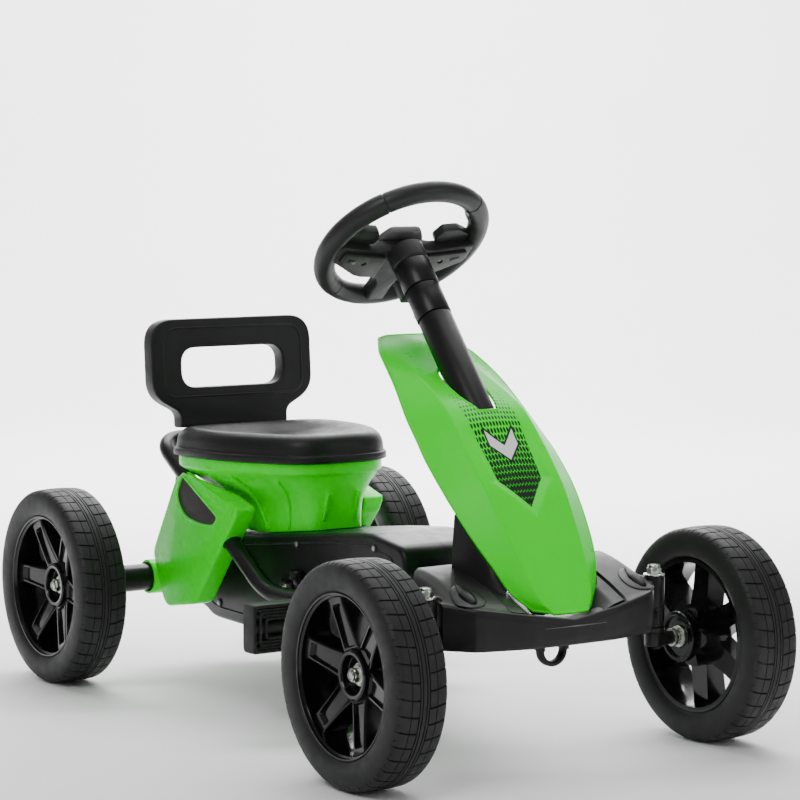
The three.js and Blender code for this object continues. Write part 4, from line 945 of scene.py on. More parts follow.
def bumper_piece():
    parts, G = bumper()
    body = parts[0]
    cuts = [block("k", KX - 14, KX + 14, -160, 160, 130, 164, None, 0)]
    for s in (-1, 1):
        cuts.append(lathe("k", [(0, 0), (16, 0), (16, 110), (0, 110)], 48, None, to_axis((KX, s * KY, 120), (0, 0, 1))))
    boolean(body, cuts, sm=30)
    # pale moulded lip across the nose
    lip = tube("lip", [(797.6 - abs(y) * 0.03, y, 164.6) for y in np.linspace(-43, 43, 25)], 2.5, m_pad, 16, (0, 0, 1), 1.0)
    extra = [lip]
    # leaf-shaped pockets in the deck
    for s in (-1, 1):
        cx, cy = 753.0, s * 115.0
        cz = deck_z(cx, cy)
        ex = np.array([8.0, 0, deck_z(cx + 4, cy) - deck_z(cx - 4, cy)]); ex /= np.linalg.norm(ex)
        ey = np.array([0, 8.0, deck_z(cx, cy + 4) - deck_z(cx, cy - 4)]); ey /= np.linalg.norm(ey)
        nn = np.cross(ex, ey); nn /= np.linalg.norm(nn)
        def on(u, v, h):
            q = np.array([cx, cy, 0]) + ex * u + ey * v
            q[2] = deck_z(q[0], q[1])
            return q + nn * h
        oval = []
        for k in range(48):
            a = 2 * math.pi * k / 48
            oval.append((24 * math.cos(a) * (1 - 0.0 * math.sin(a)), 18 * math.sin(a) * (1 + 0.18 * math.cos(a))))
        # raised oval plate with a fine dark joint round it
        rings = [[on(u * k, v * k, h) for u, v in oval] for k, h in ((1.0, -1.5), (1.0, 0.5), (0.985, 0.95), (0.94, 1.25), (0.6, 1.5), (0.2, 1.6))]
        extra.append(stack("o", rings, m_trim, 40))
        rings = [[on(u * k, v * k, h) for u, v in oval] for k, h in ((1.05, -1.5), (1.05, 0.12), (1.02, 0.12), (1.02, -1.5))]
        extra.append(stack("oj", rings, m_lens, 40))
        # dark leaf standing in the pocket
        leaf = []
        for k in range(40):
            a = 2 * math.pi * k / 40
            cu = math.cos(a); sv = math.sin(a)
            wd = 8.6 * (1 - 0.55 * max(0, -cu) ** 2)
            leaf.append((21.0 * cu - 1, wd * sv * (1 if cu > 0 else (1 + cu * 0.55))))
        rings = [[on(u * k - 0.5 * h, v * k + s * 1.0, h) for u, v in leaf] for k, h in ((1.0, 0.0), (1.0, 1.9), (0.96, 2.6), (0.8, 3.6), (0.5, 4.6), (0.15, 5.0))]
        extra.append(stack("lf", rings, m_lens, 50))
    for q in parts[1:]:
        q.data.materials.append(m_trim)
    body.data.materials.clear(); body.data.materials.append(m_trim)
    return unite("bumper_shell", [body] + parts[1:] + extra, None, 32)
place(bumper_piece(), "root", "trim_plastic", "front_bumper")

# tow ring: rounded eye hung from a flat lug
def tow():
    n = 56; m_ = 16
    V, F = [], []
    for i in range(n):
        a = 2 * math.pi * i / n
        for k in range(m_):
            b_ = 2 * math.pi * k / m_
            c_, s_ = math.cos(b_), math.sin(b_)
            rr = 15.8 + 3.1 * np.sign(c_) * abs(c_) ** 0.7
            xx = 752 + 5.9 * np.sign(s_) * abs(s_) ** 0.6
            V.append((xx, rr * math.sin(a), 131 + rr * math.cos(a)))
    for i in range(n):
        for k in range(m_):
            F.append((i * m_ + k, i * m_ + (k + 1) % m_, ((i + 1) % n) * m_ + (k + 1) % m_, ((i + 1) % n) * m_ + k))
    ring = make("t", V, F, m_trim, 40)
    boolean(ring, [block("k", 700, 800, -60, 60, 140.5, 200, None, 0)], sm=40)
    ring.data.materials.clear(); ring.data.materials.append(m_trim)
    parts = [ring, block("t2", 742.5, 761.5, -18.8, 18.8, 137.4, 141.5, m_trim, 1.0)]
    for s in (-1, 1):
        parts.append(block("t3", 743.5, 760.5, *sorted((s * 14.2, s * 18.6)), 131, 140, m_trim, 0.8))
    return unite("tow_ring", parts)
place(tow(), "root", "trim_plastic", "tow_loop")

# ------------------------------------------------------------------------ seat
def seat_z(x): return 295 + (x - 80) * 0.02
def seat_ring(inset, dz, n=12):
    x0 = 62 + inset; xm = 205 - inset * 0.4; x1 = 322 - inset; w0 = 120 - inset; wm = 119 - inset; w1 = 62 - inset * 0.8
    base = rpoly([(x0, -w0, 46), (xm, -wm, 60), (x1, -w1, 42), (x1, w1, 42), (xm, wm, 60), (x0, w0, 46)], 46, n)
    return [np.array([x, y, seat_z(x) + (dz(x, y) if callable(dz) else dz)]) for x, y in base]
def seat():
    def dish(base, k):
        # pan dips between the thighs' ridge and the rear upstand
        return lambda x, y: base - k * (1 - min(1, abs(y) / 100)) + 5 * k / 12 * math.exp(-((x - 300) / 40) ** 2 - (y / 26) ** 2)
    R = [seat_ring(16, 8), seat_ring(6, 3.2), seat_ring(4.6, 0.5), seat_ring(4.0, 0.3), seat_ring(0.9, 0.3), seat_ring(0.25, 0.6), seat_ring(0, 1.6), seat_ring(0, 7.4), seat_ring(0.35, 8.6), seat_ring(1.2, 9.3),
         seat_ring(2.4, 9.6), seat_ring(3.0, 10.4), seat_ring(3.2, 13), seat_ring(3.6, 19), seat_ring(4.6, 24.5), seat_ring(7.0, 29.6), seat_ring(10.5, 33.2), seat_ring(15, 34.9), seat_ring(20, 35), seat_ring(26, 33.6),
         seat_ring(33, 30.5), seat_ring(42, 26.4), seat_ring(52, dish(23.4, 1)), seat_ring(64, dish(21.2, 1)), seat_ring(78, dish(19.6, 1))]
    pan = stack("s", R, m_seat, 38)
    ledge = block("tab", 40, 66, -34, 34, 297, 322, m_seat, 2.5)
    return pan, ledge
pan, ledge = seat()
bpy.data.objects.remove(ledge)
pan.name = "seat_pan"
place(pan, "root", "seat_plastic", "seat_base")

def backrest():
    out = rpoly([(-80, 0, 4), (-80, 20, 14), (-120, 42, 26), (-120, 142, 34), (120, 142, 34), (120, 42, 26), (80, 20, 14), (80, 0, 4)], 20, 10)
    hole = rpoly([(-76, 52), (76, 52), (76, 104), (-76, 104)], 22, 10)
    c, s = math.cos(math.radians(4)), math.sin(math.radians(4))
    def T(V):
        # local x (thickness), y, z -> leaned back 4 degrees about the foot
        V = np.asarray(V, float)
        x = V[:, 0]; z = V[:, 2]
        return np.stack([18 + c * x - s * z, V[:, 1], 322 + s * x + c * z], axis=1)
    body = prism("bk", out, 0, 24, None, "x", T, 0)
    cut = prism("bc", hole, -10, 34, None, "x", T, 0)
    boolean(body, [cut], sm=30)
    body.data.materials.clear(); body.data.materials.append(m_seat)
    bevel(body, 6.0, 5, 40, 40)
    # raised border on the seat side; its dished middle is not modelled
    def loop(poly, k, x):
        P2 = np.array(poly); return T(np.array([(x, p[0], p[1]) for p in P2]))
    bead = rpoly([(-104, 40, 20), (-104, 130, 24), (104, 130, 24), (104, 40, 20)], 20, 10)
    b1 = tube("bb", list(loop(bead, 1, 23.4)) + [loop(bead, 1, 23.4)[0]], 1.5, m_seat, 10, (1, 0, 0), 0.2)
    return unite("backrest_shell", [body, b1], m_seat, 40)
place(backrest(), "root", "seat_plastic", "backrest")

# --------------------------------------------------------------- seat housing
def low_outline(inset, n=6):
    return rpoly([(120 + inset, -46 + inset, 14), (210, -50 + inset, 14), (300 - inset, -38 + inset, 14), (300 - inset, 38 - inset, 14), (210, 50 - inset, 14), (120 + inset, 46 - inset, 14)], 14, n)
def zc(x): return (199 if x < 182 else 199 + (x - 182) * 26 / 205 if x < 387 else 225) + 1.2
def housing_shell():
    n = 12
    low = lambda i, dz: [np.array([x, y, zc(x) + dz]) for x, y in low_outline(i, n)]
    def mix(a, b, t, k=1.0):
        out = []
        for p, q in zip(a, b):
            r = p + (q - p) * t
            r[1] *= k
            out.append(r)
        return out
    A0, B0 = low(0, 0), seat_ring(9, -17, n)
    A1, B1 = low(3, 3), seat_ring(12, -15, n)
    R = [A0, mix(A0, B0, 0.02, 0.985), mix(A0, B0, 0.25, 0.87), mix(A0, B0, 0.5, 0.80), mix(A0, B0, 0.72, 0.84), mix(A0, B0, 0.9, 0.94), B0, seat_ring(7.6, -15.6, n), seat_ring(6.0, -13.9, n), seat_ring(5.2, -12.4, n),
         seat_ring(5.0, -11, n), seat_ring(5.0, -1.3, n), seat_ring(5.5, -0.45, n), seat_ring(7.6, -0.4, n), seat_ring(8, -1.4, n), seat_ring(8, -11, n), B1, mix(A1, B1, 0.5, 0.8), A1]
    shell = stack("hs", R, m_green, 26)
    parts = [shell]
    # ribs that fan out from the foot of the housing to its rim
    for s in (-1, 1):
        for (x0, x1, w) in ((176, 150, 5.5), (214, 206, 5.5), (254, 272, 5.0)):
            pts = []
            for t in np.linspace(0.06, 0.93, 12):
                x = x0 + (x1 - x0) * t
                # half width of the housing at this height
                za = zc(x); zb = seat_z(x) - 17
                ya = np.interp(x, [120, 210, 300], [46, 50, 38]); yb = 109
                yb = float(np.interp(x, [70, 205, 313], [110, 110, 56]))
                y = ya + (yb - ya) * t
                k = float(np.interp(t, [0, .02, .25, .5, .72, .9, 1], [1, .985, .87, .80, .84, .94, 1]))
                pts.append(np.array([x, s * (y * k + 0.2), za + (zb - za) * t]))
            parts.append(tube("rib", pts, 2.4, m_green, 10, (0, 1, 0), 0.8))
    # front fins under the seat
    for s in (-1, 1):
        for x, lean in ((286, 12), (300, 16)):
            fin = rpoly([(x - 6, 226), (x + 3, 226), (x + lean, 262), (x + lean - 4, 263), (x - 2, 246)], 1.5, 3)
            parts.append(prism("fin", fin, *sorted((s * 20, s * 24)), m_green, "y", None, 0.6))
    return unite("seat_tub", parts, m_green, 28)
place(housing_shell(), "root", "green_shell", "seat_housing")

# ----------------------------------------------------------------- side covers
def inset(poly, d):
    n = len(poly)
    P = np.array(poly, float)
    area_ = 0.5 * sum(P[i][0] * P[(i + 1) % n][1] - P[(i + 1) % n][0] * P[i][1] for i in range(n))
    sg = 1 if area_ > 0 else -1
    out = []
    for i in range(n):
        a = P[i] - P[i - 1]; b = P[(i + 1) % n] - P[i]
        if np.linalg.norm(a) < 1e-9: a = b
        if np.linalg.norm(b) < 1e-9: b = a
        na = np.array([-a[1], a[0]]) / np.linalg.norm(a) * sg
        nb = np.array([-b[1], b[0]]) / np.linalg.norm(b) * sg
        m = na + nb
        out.append(tuple(P[i] + m * d * 2 / max(0.6, m @ m) * 0.5 * 1.0))
    return out

COVER = [(102, 277, 6), (236, 240, 8), (227, 223, 6), (192, 186, 6), (124, 105, 10), (48, 92, 12), (36, 104, 8), (10, 160, 12), (74, 262, 14)]
INS = [(96, 268, 6), (188, 224, 16), (176, 212, 12), (142, 210, 22), (100, 216, 24), (78, 240, 18)]
def loop_cut(sd, r):
    far = [(470, sd * 95, 141), (284, sd * 95, 141), (4, sd * 92, 306), (-60, sd * 92, 344)]
    return tube("lc", fillet(far, [0, 30, 4, 0], 8), r, None, 24)
def envelope():
    n = 8
    low = [np.array([x, y, zc(x) - 2]) for x, y in low_outline(-2, n)]
    b = seat_ring(4.6, -19, n)
    mid = [p + (q - p) * 0.5 for p, q in zip(low, b)]
    for m_ in mid: m_[1] *= 0.89
    return stack("env", [low, mid, b, seat_ring(1.6, -14, n), seat_ring(1.6, 10, n)], None, 40)
def side_cover(sd, tag):
    out = rpoly(COVER, 8, 8)
    o = prism("sc", out, *sorted((sd * 80, sd * 109)), None, "y", None, 0)
    bevel(o, 4.0, 4, 40, 34)
    ho = prism("sh", inset(out, 3.2), *sorted((sd * 74, sd * 105.8)), None, "y", None, 0)
    pk = prism("sp", rpoly(INS, 14, 8), *sorted((sd * 70, sd * 116)), None, "y", None, 0)
    hole = lathe("sa", [(0, 0), (18.2, 0), (18.2, 90), (0, 90)], 56, None, to_axis((0, sd * 50, AX), (0, sd, 0)))
    boolean(o, [ho, loop_cut(sd, 12.4), envelope(), pk, hole], sm=30)
    parts = [o]
    # raised border round the insert
    ip = rpoly([(a, b, r) for a, b, r in INS], 14, 8)
    bd = [(a, sd * 109.0, b) for a, b in inset(ip, -1.6)]
    parts.append(tube("ib", bd + [bd[0]], 1.9, None, 10, (0, sd, 0), 0.05))
    # flat rail along the upper front edge
    rail = rpoly([(104, 275, 3), (243, 238, 4), (236, 228, 4), (196, 226, 3), (100, 270, 2)], 3, 4)
    strip = rpoly([(109, 274.4, 1.5), (230, 240.8, 3), (224, 230.8, 3), (198, 233, 3)], 2, 4)
    parts.append(prism("rl", strip, *sorted((sd * 106, sd * 111.0)), None, "y", None, 1.6, 3))
    # turned lip round the axle tube
    lipc = pipe("lp", (0, sd * 80.5, AX), (0, sd * 111.5, AX), 22.5, 18.25, None, 56, 1.6)
    keep = prism("kp", out, *sorted((sd * 79, sd * 113)), None, "y", None, 0)
    parts.append(lipc)
    bpy.data.objects.remove(keep)
    # points of the pressed crease that runs down the panel; the crease itself is not built
    cr = [(150, sd * 109.0, 196), (118, sd * 109.3, 160), (92, sd * 109.2, 128), (84, sd * 108.8, 108)]
    for q in parts:
        q.data.materials.clear(); q.data.materials.append(m_green)
    return unite(f"flank_{tag}", parts, m_green, 30)
def side_insert(sd, tag):
    poly = inset(rpoly(INS, 14, 8), 0.35)
    return prism(f"flank_insert_{tag}", poly, *sorted((sd * 106.6, sd * 108.9)), m_insert, "y", None, 0.9, 3)
for tag, sd in (("left", 1), ("right", -1)):
    place(side_cover(sd, tag), "root", "green_shell", f"side_cover_{tag}")
    place(side_insert(sd, tag), "root", "grained_insert", f"side_insert_{tag}")

# ------------------------------------------------------------------ chain case
CASE = [(-52, 172, 18), (-40, 188, 12), (182, 199, 8), (387, 225, 8), (470, 233, 10), (540, 224, 16), (548, 190, 10), (505, 158, 14),
        (440, 128, 16), (392, 76, 20), (84, 79, 16), (58, 91, 14), (-28, 91, 16), (-52, 120, 14)]
def case(sd, tag):
    out = rpoly(CASE, 10, 8)
    o = prism("cc", out, *sorted((sd * 0.15, sd * 60)), None, "y", None, 0)
    # round only the outer edge
    bm = bmesh.new(); bm.from_mesh(o.data)
    yo = sd * 0.060
    es = [e for e in bm.edges if all(abs(v.co.y - yo) < 1e-5 for v in e.verts)]
    bmesh.ops.bevel(bm, geom=es, offset=0.0065, segments=5, profile=0.5, affect="EDGES")
    bm.to_mesh(o.data); bm.free()
    cuts = [prism("ci", inset(out, 3.0), *sorted((-sd * 2, sd * 57)), None, "y", None, 0),
            lathe("c1", [(0, 0), (7.2, 0), (7.2, 90), (0, 90)], 32, None, to_axis((CRX, 0, CRZ), (0, sd, 0))),
            lathe("c2", [(0, 0), (10.5, 0), (10.5, 90), (0, 90)], 32, None, to_axis((0, 0, AX), (0, sd, 0))),
            block("c3", 480, 800, *sorted((-sd * 5, sd * 14.6)), 149.4, 174.6, None, 0)]
    boolean(o, cuts, sm=32)
    parts = [o]
    # points for the rolled bead along the upper edge, as the case is moulded in two halves; the bead itself is not
    # built
    top = [(x, z) for x, z in out]
    bead = [(x, sd * 56.5, z) for x, z in inset(out, 1.2)]
    # pressed panel outline on the side
    pan_ = rpoly([(-30, 170, 12), (182, 186, 8), (380, 212, 8), (466, 219, 8), (522, 208, 12), (500, 176, 10), (430, 144, 14), (384, 92, 16), (96, 94, 14), (62, 106, 12), (-26, 106, 12)], 10, 8)
    pl = [(x, sd * 60.0, z) for x, z in pan_]
    parts.append(tube("pl", pl + [pl[0]], 1.3, None, 8, (0, sd, 0), 0.05))
    # crank bearing boss
    parts.append(pipe("cb", (CRX, sd * 57.5, CRZ), (CRX, sd * 63.0, CRZ), 21, 7.3, None, 56, 1.4))
    parts.append(pipe("cr", (CRX, sd * 59, CRZ), (CRX, sd * 64.8, CRZ), 13, 7.3, None, 48, 1.0))
    # screw bosses
    scr = []
    for x, z in ((110, 176), (300, 200), (478, 216), (104, 100), (372, 96), (-38, 150), (452, 150)):
        parts.append(lathe("sb", round_prof([(0, 57.5), (6.2, 57.5), (5.6, 61.2), (0, 61.2)], 0.5), 28, None, lambda V, x=x, z=z: np.stack([x + V[:, 0], sd * V[:, 2], z + V[:, 1]], axis=1)))
        scr.append(lathe("sc", round_prof([(0, 60.8), (3.4, 60.8), (3.0, 62.2), (0, 62.4)], 0.3), 20, None, lambda V, x=x, z=z: np.stack([x + V[:, 0], sd * V[:, 2], z + V[:, 1]], axis=1)))
    # round cap and clip with its nut behind the crank
    parts.append(lathe("cp", round_prof([(0, 158), (8.6, 158), (9.2, 160), (9.2, 166), (8.2, 168.4), (3, 169.2), (0, 169.2)], 0.8), 36, None, lambda V: np.stack([306.6 + V[:, 0], sd * 64.5 + V[:, 1], V[:, 2]], axis=1)))
    parts.append(block("cq", 299, 315, *sorted((sd * 57, sd * 66)), 150, 160, None, 1.5))
    parts.append(prism("ck", rpoly([(262, 152, 3), (290, 152, 4), (292, 134, 4), (274, 130, 5), (262, 140, 3)], 3, 4), *sorted((sd * 58, sd * 63)), None, "y", None, 1.0))
    nutc = hexnut("cn", (281, sd * 62.5, 143.5), (281, sd * 68.0, 143.5), 10, m_zinc, None, (3.4, 1.2))
    for q in parts:
        q.data.materials.clear(); q.data.materials.append(m_case)
    for q in scr:
        q.data.materials.clear(); q.data.materials.append(m_steel)
    return unite(f"drive_case_{tag}", parts + scr + [nutc], None, 32)
for tag, sd in (("left", 1), ("right", -1)):
    place(case(sd, tag), "root", "trim_plastic", f"chain_case_{tag}")

# ------------------------------------------------------------ crank and pedals
ca, sa = math.cos(CANG), math.sin(CANG)
PIN = {"right": (CRX + THROW * ca, CRZ + THROW * sa), "left": (CRX - THROW * ca, CRZ - THROW * sa)}
def crank():
    parts = [cyl("a", (CRX, -113, CRZ), (CRX, 113, CRZ), 6, m_paint, 32)]
    for tag, s in (("right", -1), ("left", 1)):
        px, pz = PIN[tag]
        parts.append(cyl("b", (CRX, s * 109, CRZ), (CRX, s * 118, CRZ), 10, m_paint, 40, 0.9))
        parts.append(cyl("c", (px, s * 109, pz), (px, s * 118, pz), 9, m_paint, 40, 0.9))
        parts.append(cyl("d", (px, s * 112, pz), (px, s * 192, pz), 5, m_steel, 28, 0.8))
        parts.append(cyl("d2", (px, s * 118, pz), (px, s * 120.4, pz), 7.2, m_zinc, 28, 0.5))
        d = np.array([px - CRX, 0, pz - CRZ]); d /= np.linalg.norm(d); n = np.array([-d[2], 0, d[0]])
        A = np.array([CRX, s * 113.5, CRZ]); B = np.array([px, s * 113.5, pz])
        poly = [A + n * 7, A - n * 7, B - n * 7, B + n * 7]
        o = prism("e", [(p[0], p[2]) for p in poly], s * 113.5 - 4, s * 113.5 + 4, m_paint, "y", None, 1.6, 3)
        parts.append(o)
    return unite("crank_set", parts)
place(crank(), "crank", "frame_paint", "crank_shaft")

def pedal(tag, s):
    px, pz = PIN[tag]
    y0, y1 = 121, 196
    parts = []
    # sleeve on the spindle and its two cheeks
    parts.append(pipe("p", (px, s * y0, pz), (px, s * (y1 - 1), pz), 9.5, 5.5, None, 36, 0.8))
    for a, b in ((y0, y0 + 4.2), (y1 - 4.2, y1)):
        out = rpoly([(-13, -29), (13, -29), (13, 29), (-13, 29)], 7, 8)
        ch = prism("c", [(px + u, pz + v) for u, v in out], *sorted((s * a, s * b)), None, "y", None, 1.4, 3)
        if a == y0:
            boolean(ch, [lathe("k", [(0, 0), (5.5, 0), (5.5, 40), (0, 40)], 28, None, to_axis((px, s * (y0 - 10), pz), (0, s, 0)))], sm=30)
        parts.append(ch)
    # top and bottom walls
    for v0, v1 in ((-29, -25.2), (25.2, 29)):
        parts.append(block("w", px - 12.6, px + 12.6, *sorted((s * (y0 + 1), s * (y1 - 1))), pz + v0, pz + v1, None, 1.3))
    # tread faces: nested frames and cross bars, front and back
    for f in (-1, 1):
        xf = px + f * 12.6
        for (ha, hb, r, w) in ((35.0, 26.6, 8, 1.9), (27.0, 19.0, 6, 1.6), (19.0, 11.6, 5, 1.5)):
            ring = rpoly([(-ha, -hb), (ha, -hb), (ha, hb), (-ha, hb)], r, 6)
            pts = [(xf - f * 1.7, s * (y0 + y1) / 2 + u, pz + v) for u, v in ring]
            parts.append(tube("t", pts + [pts[0]], w, None, 10, (1, 0, 0), 0.05))
        for v in (-22.6, -15.4, 15.4, 22.6):
            parts.append(block("b", min(xf - f * 4.2, xf - f * 0.9), max(xf - f * 4.2, xf - f * 0.9), *sorted((s * (y0 + 3), s * (y1 - 3))), pz + v - 1.1, pz + v + 1.1, None, 0.7))
        for u in (-26, -13, 0, 13, 26):
            yy = s * (y0 + y1) / 2 + u
            for za, zb in ((-26.5, -9), (9, 26.5)):
                parts.append(block("b2", min(xf - f * 4.6, xf - f * 1.6), max(xf - f * 4.6, xf - f * 1.6), yy - 1.1, yy + 1.1, pz + za, pz + zb, None, 0.6))
    # inner web
    parts.append(block("web", px - 1.6, px + 1.6, *sorted((s * (y0 + 2), s * (y1 - 2))), pz - 27, pz - 9.2, None, 0.6))
    parts.append(block("web", px - 1.6, px + 1.6, *sorted((s * (y0 + 2), s * (y1 - 2))), pz + 9.2, pz + 27, None, 0.6))
    for q in parts:
        q.data.materials.clear(); q.data.materials.append(m_pedal)
    return unite(f"tread_pedal_{tag}", parts, m_pedal, 32)
for tag, s in (("right", -1), ("left", 1)):
    place(pedal(tag, s), f"pedal_{tag}", "pedal_plastic", f"pedal_{tag}")

# -------------------------------------------------------------- steering wheel
def colT(V):
    return colp(np.asarray(V, float))
def torus():
    n, m_ = 200, 28
    marks = [math.radians(a) for a in (38, 142, 218, 322)]
    V, F = [], []
    angs = list(np.linspace(0, 2 * math.pi, n, endpoint=False))
    for mk in marks:
        for d in (-0.011, -0.008, 0.008, 0.011):
            angs.append(mk + d)
    angs = sorted(angs)
    for th in angs:
        groove = min(abs((th - mk + math.pi) % (2 * math.pi) - math.pi) for mk in marks) < 0.0085
        # grips are a touch fatter than the bridges between them
        dm = min(abs((th - c_ + math.pi) % (2 * math.pi) - math.pi) for c_ in (math.pi / 2, 3 * math.pi / 2))
        fat = 12.95 if dm < math.radians(52) else 12.5
        for k in range(m_):
            ph = 2 * math.pi * k / m_
            r = fat
            if groove: r -= 0.9
            # fine parting line round the top and the bottom of the rim
            if k in (5, 23): r -= 0.55
            # finger scallops on the inside of the grips
            if dm < math.radians(46):
                r -= 0.55 * (0.5 - 0.5 * math.cos(th * 36)) * max(0, -math.cos(ph)) ** 2
            rr = RING + r * math.cos(ph)
            V.append((rr * math.cos(th), rr * math.sin(th), r * 1.0 * math.sin(ph)))
    K = len(angs)
    for i in range(K):
        for k in range(m_):
            F.append((i * m_ + k, i * m_ + (k + 1) % m_, ((i + 1) % K) * m_ + (k + 1) % m_, ((i + 1) % K) * m_ + k))
    return make("rimring", colT(np.array(V)), F, m_grip, 24)

BAR = [(12, -93), (2, -40), (6, -22), (6, 22), (2, 40), (12, 93), (-16, 94), (-44, 52), (-48, 22), (-60, 12), (-92, 12), (-92, -12), (-60, -12), (-48, -22), (-44, -52), (-16, -94)]
def wheel():
    parts = [torus()]
    parts.append(prism("bar", rpoly(BAR, 5, 5), -14, 3, m_grip, "z", colT, 2.2, 3))
    # hub below the bar; its ribs are not modelled
    parts.append(lathe("hub", round_prof([(0, -33.5), (21.2, -33.5), (22.6, -31.5), (22.6, -10), (0, -10)], 0.9), 56, m_grip, colT))
    for s in (-1, 1):
        # wedge-shaped cover under each arm of the bar with its screw
        cov = rpoly([(4, s * 86), (-2, s * 44), (-4, s * 26), (-42, s * 26), (-40, s * 50), (-14, s * 88)], 4, 4)
        if s < 0: cov = cov[::-1]
        c = prism("cov", cov, -18.2, -13.6, None, "z", colT, 1.4, 3)
        hole = lathe("h", [(0, 0), (3.6, 0), (3.6, 12), (0, 12)], 28, None, lambda V, s=s: colT(V + np.array([-14.0, s * 54, -24.0])))
        boolean(c, [hole], sm=30)
        c.data.materials.clear(); c.data.materials.append(m_grip)
        parts.append(c)
        parts.append(lathe("scr", round_prof([(0, -16.2), (3.0, -16.2), (2.6, -14.6), (0, -14.4)], 0.3), 20, m_steel, lambda V, s=s: colT(V + np.array([-14.0, s * 54, 0]))))
        # raised thumb pads above the bar, driver's side
        pad = rpoly([(13, s * 40), (28, s * 46), (30, s * 66), (20, s * 86), (8, s * 84), (4, s * 44)], 3, 4)
        if s < 0: pad = pad[::-1]
        parts.append(prism("pad", pad, -4, 7.5, m_grip, "z", colT, 1.6, 3))
        # thumb rest on the inside of the rim
        tr = rpoly([(40, s * 74), (52, s * 66), (58, s * 72), (48, s * 82)], 3, 4)
        if s < 0: tr = tr[::-1]
        parts.append(prism("thumb", tr, -5, 8, m_grip, "z", colT, 1.8, 3))
        # slot marking beside the hub, set in a dark plate
        sl = rpoly([(-8, s * 66), (-4, s * 78), (-10, s * 80), (-15, s * 68)], 2, 3)
        if s < 0: sl = sl[::-1]
        parts.append(prism("slot", sl, -18.6, -17.0, m_lens, "z", colT, 0.3, 2))
    return unite("steering_rim", parts, None, 30)
place(wheel(), "steering", "grip_plastic", "steering_wheel")

def centre_pad():
    poly = rpoly([(4, -30), (20, -20), (20, 20), (4, 30), (-26, 36), (-38, 20), (-38, -20), (-26, -36)], 5, 5)
    a = prism("pad1", poly, 3.3, 11.4, m_pad, "z", colT, 2.2, 3)
    b_ = prism("pad2", inset(poly, 5.0), 11.0, 13.0, m_pad, "z", colT, 0.9, 3)
    return unite("horn_pad", [a, b_], m_pad, 30)
place(centre_pad(), "steering", "grip_plastic", "wheel_centre_pad")

def sleeve(name, ro, t0, t1, mat):
    ri = 9.3
    prof = [(ri, -t1 + 0.6), (ri + 0.6, -t1), (ro - 1.0, -t1), (ro - 0.3, -t1 + 0.3), (ro, -t1 + 1.0), (ro, -t0 - 1.0), (ro - 0.3, -t0 - 0.3), (ro - 1.0, -t0), (ri + 0.6, -t0), (ri, -t0 - 0.6)]
    return lathe(name, prof, 72, mat, colT)
def hub_sleeve():
    o = sleeve("hs1", 22, 34, 69.5, m_paint)
    # clamp with its knob on the driver's lower side
    k1 = prism("k1", rpoly([(-30, -15), (-18, -17), (-18, 17), (-30, 15)], 3, 4), -66, -40, m_grip, "z", colT, 1.6, 3)
    boolean(k1, [lathe("k", [(0, -70), (21.6, -70), (21.6, -30), (0, -30)], 48, None, colT),
                 lathe("k", [(0, 0), (8.2, 0), (8.2, 30), (0, 30)], 32, None, lambda V: colT(np.stack([-40 + V[:, 2], V[:, 0], -52 + V[:, 1]], axis=1)))], sm=30)
    k1.data.materials.clear(); k1.data.materials.append(m_grip)
    return unite("hub_tube", [o, k1])
place(hub_sleeve(), "steering", "trim_plastic", "wheel_hub_sleeve")
place(sleeve("collar_tube", 21.2, 70.5, 111, m_paint), "steering", "trim_plastic", "column_collar")

def col_bolt(name, t):
    d = np.array([-1.0, 0, 0]) @ COL.T
    p = colp([[-23.0, 0, -t]])[0]
    hx = hexnut(name + "h", p, p + d * 6.0, 10, m_zinc, None, (3.2, 0.8))
    ws = cyl(name + "w", colp([[-22.3, 0, -t]])[0], colp([[-23.6, 0, -t]])[0], 7, m_zinc, 36, 0.3)
    return unite(name, [hx, ws])
place(col_bolt("clamp_bolt_upper", 52), "steering", "zinc_plate", "hub_bolt")
place(col_bolt("clamp_bolt_lower", 88), "steering", "zinc_plate", "collar_bolt")

# head tube: tapered mouth, welded foot
def head():
    ro, ri = 20.5, 18.0
    prof = [(ri, -256 + 0.6), (ri + 0.6, -256), (ro - 0.8, -256), (ro, -255.2), (ro, -113.2), (ro - 0.3, -112.5), (ro - 0.9, -112), (ri + 0.7, -112), (ri, -112.7)]
    parts = [lathe("ht", prof, 96, m_paint, colT)]
    parts.append(prism("foot", rpoly([(584, -13), (616, -13), (616, 13), (584, 13)], 3, 4), 174.3, 180, m_paint, "z", None, 1.0))
    top_ = on_axis(224)
    post = cyl("post", (600, 0, 176), top_, 12, m_paint, 40, 0.8)
    boolean(post, [lathe("k", [(0, -290), (18.2, -290), (18.2, -100), (0, -100)], 48, None, colT)], sm=30)
    post.data.materials.clear(); post.data.materials.append(m_paint)
    parts.append(post)
    ring = [(600 + 13.2 * math.cos(a), 13.2 * math.sin(a), 180.2) for a in np.linspace(0, 2 * math.pi, 33)[:-1]]
    parts.append(tube("weld", ring + [ring[0]], 1.6, m_paint, 8, (0, 0, 1), 0.05))
    return unite("head_tube", parts, m_paint, 30)
place(head(), "root", "frame_paint", "steering_head_tube")

